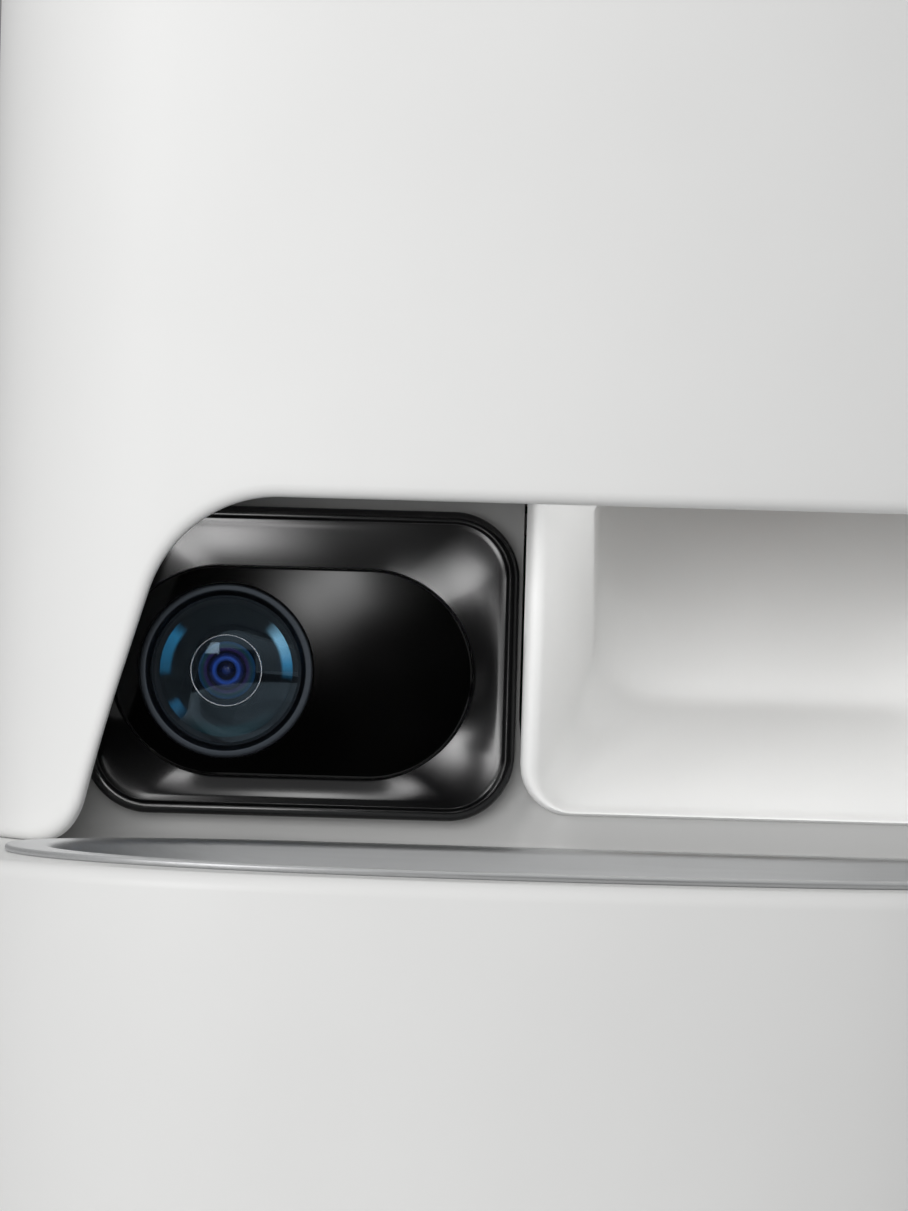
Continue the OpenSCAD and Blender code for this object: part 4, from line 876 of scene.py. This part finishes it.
# %% [markdown]
# ## Camera frame and window
# The frame is a rounded rectangle with a raised rim; inside the rim its face leans in towards the
# window, so it catches lamps from the side. The window is a flat stadium with a fine bevel.

# %% Camera frame
bezel_low, bezel_high = edges("camera_bezel")
window_low, window_high = edges("camera_window")
BEZEL_MID = 0.5 * (bezel_low + bezel_high)
WINDOW_MID = 0.5 * (window_low + window_high)
BEZEL_R = 9.3
RIM = 1.7
RIM_STEP = 0.8
PLAY = 0.16


def rect_outline(middle, size, radius, step=0.7):
    """Rounded rectangle in (x, z) with outward normals."""
    hx, hz = 0.5 * size[0] - radius, 0.5 * size[2] - radius
    corners = np.array([(hx, hz), (-hx, hz), (-hx, -hz), (hx, -hz)]) + middle[[0, 2]]
    runs = []
    for k, way in enumerate(np.array([(0, 1), (-1, 0), (0, -1), (1, 0)])):
        runs += [arc(corners[k], radius, 90 * k, 90 * k + 90, step),
                 straight(corners[k] + radius * way, corners[(k + 1) % 4] + radius * way, way, 2)]
    return joined(runs)


def stadium_reach(way, length, height):
    """Distance from a stadium's middle to its edge along unit directions: flat sides or end circles."""
    half, r = 0.5 * (length - height), 0.5 * height
    c, s = np.abs(way[:, 0]), np.abs(way[:, 1])
    ends = half * c + np.sqrt(np.maximum(r**2 - (half * s) ** 2, 0))
    return np.where(r * c <= half * s, r / np.maximum(s, 1e-9), ends)


def camera_frame_rings():
    """Side, rounded rim and its inner step; then the leaning face to the window's stadium and its hole."""
    outline, way = rect_outline(BEZEL_MID, bezel_high - bezel_low, BEZEL_R)
    front, back = bezel_low[1], bezel_high[1]
    profile = rounded_path([(0.5, back), (0, back - 0.3), (0, front), (RIM - 0.35, front), (RIM, front + 0.75),
                            (RIM + RIM_STEP, front + RIM_STEP)], [0.2, 0.7, 0.25, 0.2], 6)
    rim = sweep((outline, way), profile)[..., [0, 2, 1]]
    inner = rim[-1][:, [0, 2]]
    middle = WINDOW_MID[[0, 2]]
    direction = unit(inner - middle)
    size = window_high - window_low
    hole = middle + direction * stadium_reach(direction, size[0] + PLAY, size[2] + PLAY)[:, None]
    share = np.array([0.1, 0.3, 0.55, 0.8, 0.94, 1.0])
    flat = inner[None] + (hole - inner)[None] * share[:, None, None]
    lean = front + RIM_STEP + 0.75 * share**1.2
    face = upright(flat, lean[:, None])
    return np.concatenate([rim, face, upright(hole, back)[None]])


camera_frame = add_surface("camera_frame", camera_frame_rings(), "frame_polycarbonate",
                           ["camera_bezel"])

# %% [markdown]
# The window is a moulded pane of dark polycarbonate. Its rings run from the back edge over a fine bevel
# to the flat front, then along rays to the round hole that the lens stands in.

# %% Camera window
LENS_RING_R = 12.2


def camera_window_rings():
    """Back edge, side, bevel, flat front to the lens hole, and back through the hole."""
    size = window_high - window_low
    half, r = 0.5 * (size[0] - size[2]), 0.5 * size[2]
    x, z = WINDOW_MID[0], WINDOW_MID[2]
    outline, way = joined([
        arc((x + half, z), r, -90, 90, 0.7), straight((x + half, z + r), (x - half, z + r), (0, 1), 1.5),
        arc((x - half, z), r, 90, 270, 0.7), straight((x - half, z - r), (x + half, z - r), (0, -1), 1.5)])
    front, back = window_low[1], window_high[1]
    profile = np.array([(0.2, back), (0, back - 0.2), (0, front + 0.3), (0.08, front + 0.1), (0.3, front)])
    side = sweep((outline, way), profile)[..., [0, 2, 1]]
    lens = np.array([LENS_AXIS[0], LENS_AXIS[2]])
    hole = lens + unit(outline - lens) * (LENS_RING_R + 0.08)
    edge = side[-1][:, [0, 2]]
    share = np.array([0.04, 0.3, 0.7, 0.97, 1.0])[:, None, None]
    face = upright(edge[None] + (hole - edge)[None] * share, np.array([[front]]))
    return np.concatenate([side, face, upright(hole, back)[None]])


window_pane = add_surface("camera_window_pane", camera_window_rings(),
                          "window_polycarbonate", ["camera_window"], sharp=20.0)

# %% [markdown]
# ## Lens
# Everything in the lens is turned round one axis, so each piece is a profile of (radius, depth)
# carried round a circle. The ring comes first: turned aluminium with a chamfer that leads to the dome.

# %% Lens ring
TURN_STEPS = 120
BORE_R = 8.4


def turned(profile):
    """Profile (radius, y) turned about the lens axis: (x0 + r cos a, y, z0 + r sin a)."""
    a = np.linspace(0, 2 * math.pi, TURN_STEPS, endpoint=False)
    r, y = profile[:, 0, None], profile[:, 1, None]
    return np.stack([LENS_AXIS[0] + r * np.cos(a), y + 0 * a, LENS_AXIS[2] + r * np.sin(a)], -1)


def ball(radius, height):
    """Radius of the ball whose cap has this radius and height: (r^2 + h^2) / 2h."""
    return (radius**2 + height**2) / (2 * height)


def cap(radii, centre, ball_r):
    """Profile of a cap in front of the ball's centre: y = centre - sqrt(R^2 - r^2)."""
    return np.column_stack([radii, centre - np.sqrt(ball_r**2 - radii**2)])


ring_front = edges("lens_ring")[0][1]
ring_back = edges("lens_ring")[1][1]
dome_low, dome_high = edges("lens_dome")
DOME_R = 0.5 * (dome_high[0] - dome_low[0])
barrel_front = dome_high[1]

ring_profile = rounded_path([(BORE_R, ring_back), (LENS_RING_R, ring_back), (LENS_RING_R, ring_front),
                             (DOME_R + 0.75, ring_front), (DOME_R + 0.1, ring_front + 0.9),
                             (DOME_R + 0.1, barrel_front + 0.05), (BORE_R, barrel_front + 0.05), (BORE_R, ring_back)],
                            [0.2, 0.45, 0.3, 0.3, 0.1, 0.1], 6)[:-1]
lens_surround = add_surface("lens_surround", turned(ring_profile), "anodised_ring", ["lens_ring"])

# %% [markdown]
# The dome is a thin glass cap: an outer and an inner ball share one axis, and a flat rim joins them. It casts
# no shadow here, because clear glass lets the light through to the barrel.

# %% Lens dome
DOME_H = 3.2
DOME_T = 1.2
DOME_RIM = 1.1
dome_ball = ball(DOME_R, DOME_H)
dome_centre = dome_low[1] + dome_ball
rim_y = barrel_front - 0.05
outer_cap = cap(np.linspace(0, DOME_R, 24), dome_centre, dome_ball)
inner_cap = cap(np.linspace(DOME_R - DOME_RIM, 0, 24), dome_centre, dome_ball - DOME_T)
rim_cap = np.array([(DOME_R, rim_y), (DOME_R - DOME_RIM, rim_y)])
dome_profile = np.vstack([outer_cap, rim_cap, inner_cap])
lens_dome = add_surface("lens_dome_glass", turned(dome_profile), "dome_glass", ["lens_dome"])
lens_dome.visible_shadow = False

# %% [markdown]
# Under the dome lies the barrel, a turned and lacquered cone with a well for the front element. A bright
# bead runs round the well, and the element is a low cap of coated glass.

# %% Lens barrel
barrel_back = edges("lens_barrel")[1][1]
barrel_steps = [(8.1, 0.2), (9.25, 0), (9.25, -0.35), (8.45, 0.05), (7.4, 0.25), (6.3, 0.38), (5.3, 0.42),
                (5.2, -0.1), (4.4, 0.1), (4.15, 0.5), (4.15, 2.9), (0, 2.9)]
barrel_profile = np.array([(0, barrel_back), (8.1, barrel_back)] + [(r, barrel_front + y) for r, y in barrel_steps])
lens_baffle = add_surface("lens_baffle", turned(barrel_profile), "barrel_lacquer",
                          ["lens_barrel"], sharp=25.0)

TRIM_R = 5.1
BEAD_R, BEAD_Y = 0.18, 0.3
bead = np.linspace(0, 2 * math.pi, 16, endpoint=False)
trim_profile = np.column_stack([TRIM_R - BEAD_R + BEAD_R * np.cos(bead),
                                barrel_front - BEAD_Y + BEAD_Y * np.sin(bead)])
lens_trim = add_surface("lens_bright_ring", turned(trim_profile), "bright_aluminium",
                        ["lens_trim_ring"])

ELEMENT_R = 4.0
ELEMENT_H = 1.3
element_ball = ball(ELEMENT_R, ELEMENT_H)
element_cap = cap(np.linspace(0, ELEMENT_R, 20), barrel_front - 0.2 + element_ball, element_ball)
element_profile = np.vstack([element_cap, [(ELEMENT_R, barrel_front + 2.8), (0, barrel_front + 2.8)]])
lens_element = add_surface("lens_front_element", turned(element_profile),
                           "coated_element", ["lens_element"])

# %% [markdown]
# ## Softened solids
# The other moulded parts already have the right shape in the frame. A merged copy gets a small
# bevel on its edges, as every moulded edge has, and smooth shading.

# %% Soft copies


def soften(node, finish, width_mm):
    """Copy of a node with its triangles joined into faces and its edges bevelled."""
    mesh = nodes[node].data.copy()
    with editing(mesh) as shape:
        bmesh.ops.remove_doubles(shape, verts=shape.verts, dist=MERGE)
        bmesh.ops.dissolve_limit(shape, angle_limit=math.radians(0.6), verts=shape.verts, edges=shape.edges)
    piece = finish_mesh(node + "_soft", mesh, nodes[node]["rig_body"], finish, [node], 30.0)
    bevel = piece.modifiers.new("soft edge", "BEVEL")
    bevel.width = width_mm * MM
    bevel.segments = 3
    bevel.limit_method = "ANGLE"
    bevel.angle_limit = math.radians(35)


for node, finish, width in [("lid", "white_abs", 0.6), ("rear_deck", "white_abs", 0.5),
                            ("feed_button", "button_abs", 0.5), ("reset_button", "grey_abs", 0.3),
                            ("rubber_feet", "foot_rubber", 0.5)]:
    soften(node, finish, width)

# %% [markdown]
# ## Finishes of the remaining nodes
# What keeps its own mesh gets the finish of its real material.

# %% Node finishes
node_finish = {
    "inner_polypropylene": ["base_plate", "battery_tray", "battery_door", "hopper", "drive_plate", "lid_liner",
                            "desiccant_cup", "desiccant_cap"],
    "plain_steel": ["base_screws", "door_pin", "body_screws", "wheel_shaft", "motor_shaft", "motor", "drive_screws",
                    "hinge_pins", "board_screws"],
    "white_abs": ["lid_hinges"], "cell_film": ["battery_cells"], "brass": ["battery_contacts", "pinion"],
    "wheel_elastomer": ["portion_wheel"], "gear_acetal": ["wheel_gear"], "seal_silicone": ["lid_gasket"],
    "solder_mask": ["button_board", "main_board", "camera_board"],
    "dark_nylon": ["chute_sensors", "board_parts", "dc_jack", "speaker", "camera_case", "night_lights"],
    "light_guide": ["status_light"], "black_foam": ["camera_gasket"],
}
for finish, names in node_finish.items():
    for name in names:
        mesh = nodes[name].data
        mesh.materials.clear()
        mesh.materials.append(finishes[finish])
print("node finishes:", sum(map(len, node_finish.values())))

# %% [markdown]
# ## Stage and light
# A plain pale floor without gloss, and a sky that is brighter overhead than at eye level, as in a studio
# with a white ceiling.

# %% Stage
FLOOR_REACH = 8.0


def plate(name, points, faces, finish):
    """Plain mesh of the set, in metres."""
    mesh = bpy.data.meshes.new(name)
    mesh.from_pydata(points, [], faces)
    mesh.materials.append(finishes[finish])
    return placed(name, mesh)


new_finish("pale_floor", "#d0d0d0", 0.7, Specular_IOR_Level=0.0)  # floor: even and dull, so no lamp shows in it
corners = [(-1, -1), (1, -1), (1, 1), (-1, 1)]
floor = plate("floor", [(x * FLOOR_REACH, y * FLOOR_REACH, 0) for x, y in corners], [(0, 1, 2, 3)], "pale_floor")

world = bpy.data.worlds.new("studio")
bpy.context.scene.world = world
world.use_nodes = True
sky = world.node_tree
sky_way = add_node(sky, "ShaderNodeTexCoord")
sky_part = add_node(sky, "ShaderNodeSeparateXYZ", Vector=sky_way.outputs["Generated"])
sky_ramp = add_node(sky, "ShaderNodeValToRGB", Fac=sky_part.outputs["Z"])
for element, height, grey in zip(sky_ramp.color_ramp.elements, (0.1, 0.7), (0.22, 0.5)):
    element.position = height
    element.color = (grey, grey, grey, 1)
sky.links.new(sky_ramp.outputs["Color"], sky.nodes["Background"].inputs["Color"])
print("floor and sky stand")

# %% [markdown]
# A large soft lamp in front reaches into the niche, and a smaller one stands high on the left. Light linking
# lets a lamp light only the pieces named: small lamps lift the chute, the lens and the bowl, which lie deep
# in shade, and the front lamp spares the floor, which lies too near it.

# %% Lamps


def soft_lamp(name, place, target, size, watts, reflects=True, only=()):
    """Rectangular lamp at a place in metres, turned to its target; it lights all, or only the pieces named."""
    data = bpy.data.lights.new(name, "AREA")
    data.shape = "RECTANGLE"
    data.size, data.size_y = size
    data.energy = watts
    lamp = placed(name, data)
    way = Vector(place) - Vector(target)
    lamp.matrix_world = Matrix.Translation(place) @ way.to_track_quat("Z", "Y").to_matrix().to_4x4()
    lamp.visible_glossy = reflects
    if only:
        lit = bpy.data.collections.new(name + "_lights")
        for piece in only:
            lit.objects.link(piece)
        lamp.light_linking.receiver_collection = lit
    return lamp


AIM = (-0.02, -0.03, 0.10)
soft_lamp("key", (-1.5, -0.9, 0.7), AIM, (0.9, 0.9), 8.0)
pieces = [piece for piece in bpy.data.objects if piece.type == "MESH" and piece != floor]
soft_lamp("front", (-0.5, -2.1, 0.42), AIM, (1.5, 0.9), 22.0, reflects=False, only=pieces)
soft_lamp("chute_lamp", (CHUTE_X * MM, -0.038, 0.104), (CHUTE_X * MM, 0.012, 0.072), (0.056, 0.008), 0.012,
          reflects=False, only=[food_chute])
soft_lamp("lens_lamp", (LENS_AXIS[0] * MM, -0.11, 0.1), (LENS_AXIS[0] * MM, 0.0, LENS_AXIS[2] * MM),
          (0.03, 0.03), 0.12, reflects=False, only=[lens_baffle, lens_element])
soft_lamp("bowl_lamp", (-0.02, -0.036, 0.104), (-0.02, -0.034, 0.05), (0.12, 0.02), 0.006, only=[steel_bowl])

# %% [markdown]
# Polished black shows only what it reflects. A black flag behind the camera keeps the window dark, and
# small glowing cards in front give the frame its soft bands and the lens its highlights. Flag and cards are
# seen in reflections alone.

# %% Flag and cards
CARD_Y = -300.0


def card(name, x, z, strength, only, turn=0.0):
    """Small glowing card that only the named pieces reflect: power = pi * area * strength."""
    middle = ((0.5 * sum(x) + BEZEL_MID[0]) * MM, CARD_Y * MM, 0.5 * sum(z) * MM)
    size = ((x[1] - x[0]) * MM, (z[1] - z[0]) * MM)
    lamp = soft_lamp(name, middle, (middle[0], 0.0, middle[2]), size, math.pi * size[0] * size[1] * strength,
                     only=only)
    lamp.matrix_world = lamp.matrix_world @ Matrix.Rotation(math.radians(turn), 4, "Z")
    lamp.visible_diffuse = False


card("card_top", (-40, -25), (14, 52), 13.0, [camera_frame])
card("card_corner", (-43, -18), (56, 80), 9.0, [camera_frame])
card("card_low_corner", (-72, -38), (98, 118), 12.0, [camera_frame])
card("card_bottom", (-24, -8), (160, 200), 8.0, [camera_frame])
card("card_window", (-20, -6), (88.5, 97.5), 7.0, [window_pane], 30.0)
card("card_lens", (-60, 10), (70, 130), 4.0, [lens_element])
card("card_trim", (-260, 240), (10, 420), 4.5, [lens_trim])
card("card_ring", (-260, 240), (10, 420), 1.2, [lens_surround])
card("card_dome", (-150, -60), (160, 215), 2.2, [lens_dome])

new_finish("black_flag", "#050505", 0.9)  # flag: black cloth
FLAG_X, FLAG_Y, FLAG_Z = (-1.2, 1.0), (-2.4, -0.2), (0.002, 0.9)
(left, right), (far, near), (low, high) = FLAG_X, FLAG_Y, FLAG_Z
flag = plate("flag", [(left, far, low), (right, far, low), (right, far, high), (left, far, high), (right, near, low),
                      (left, near, low)], [(0, 1, 2, 3), (0, 5, 4, 1)], "black_flag")
flag.visible_camera = flag.visible_diffuse = flag.visible_shadow = flag.visible_transmission = False
print("cards and flag stand")
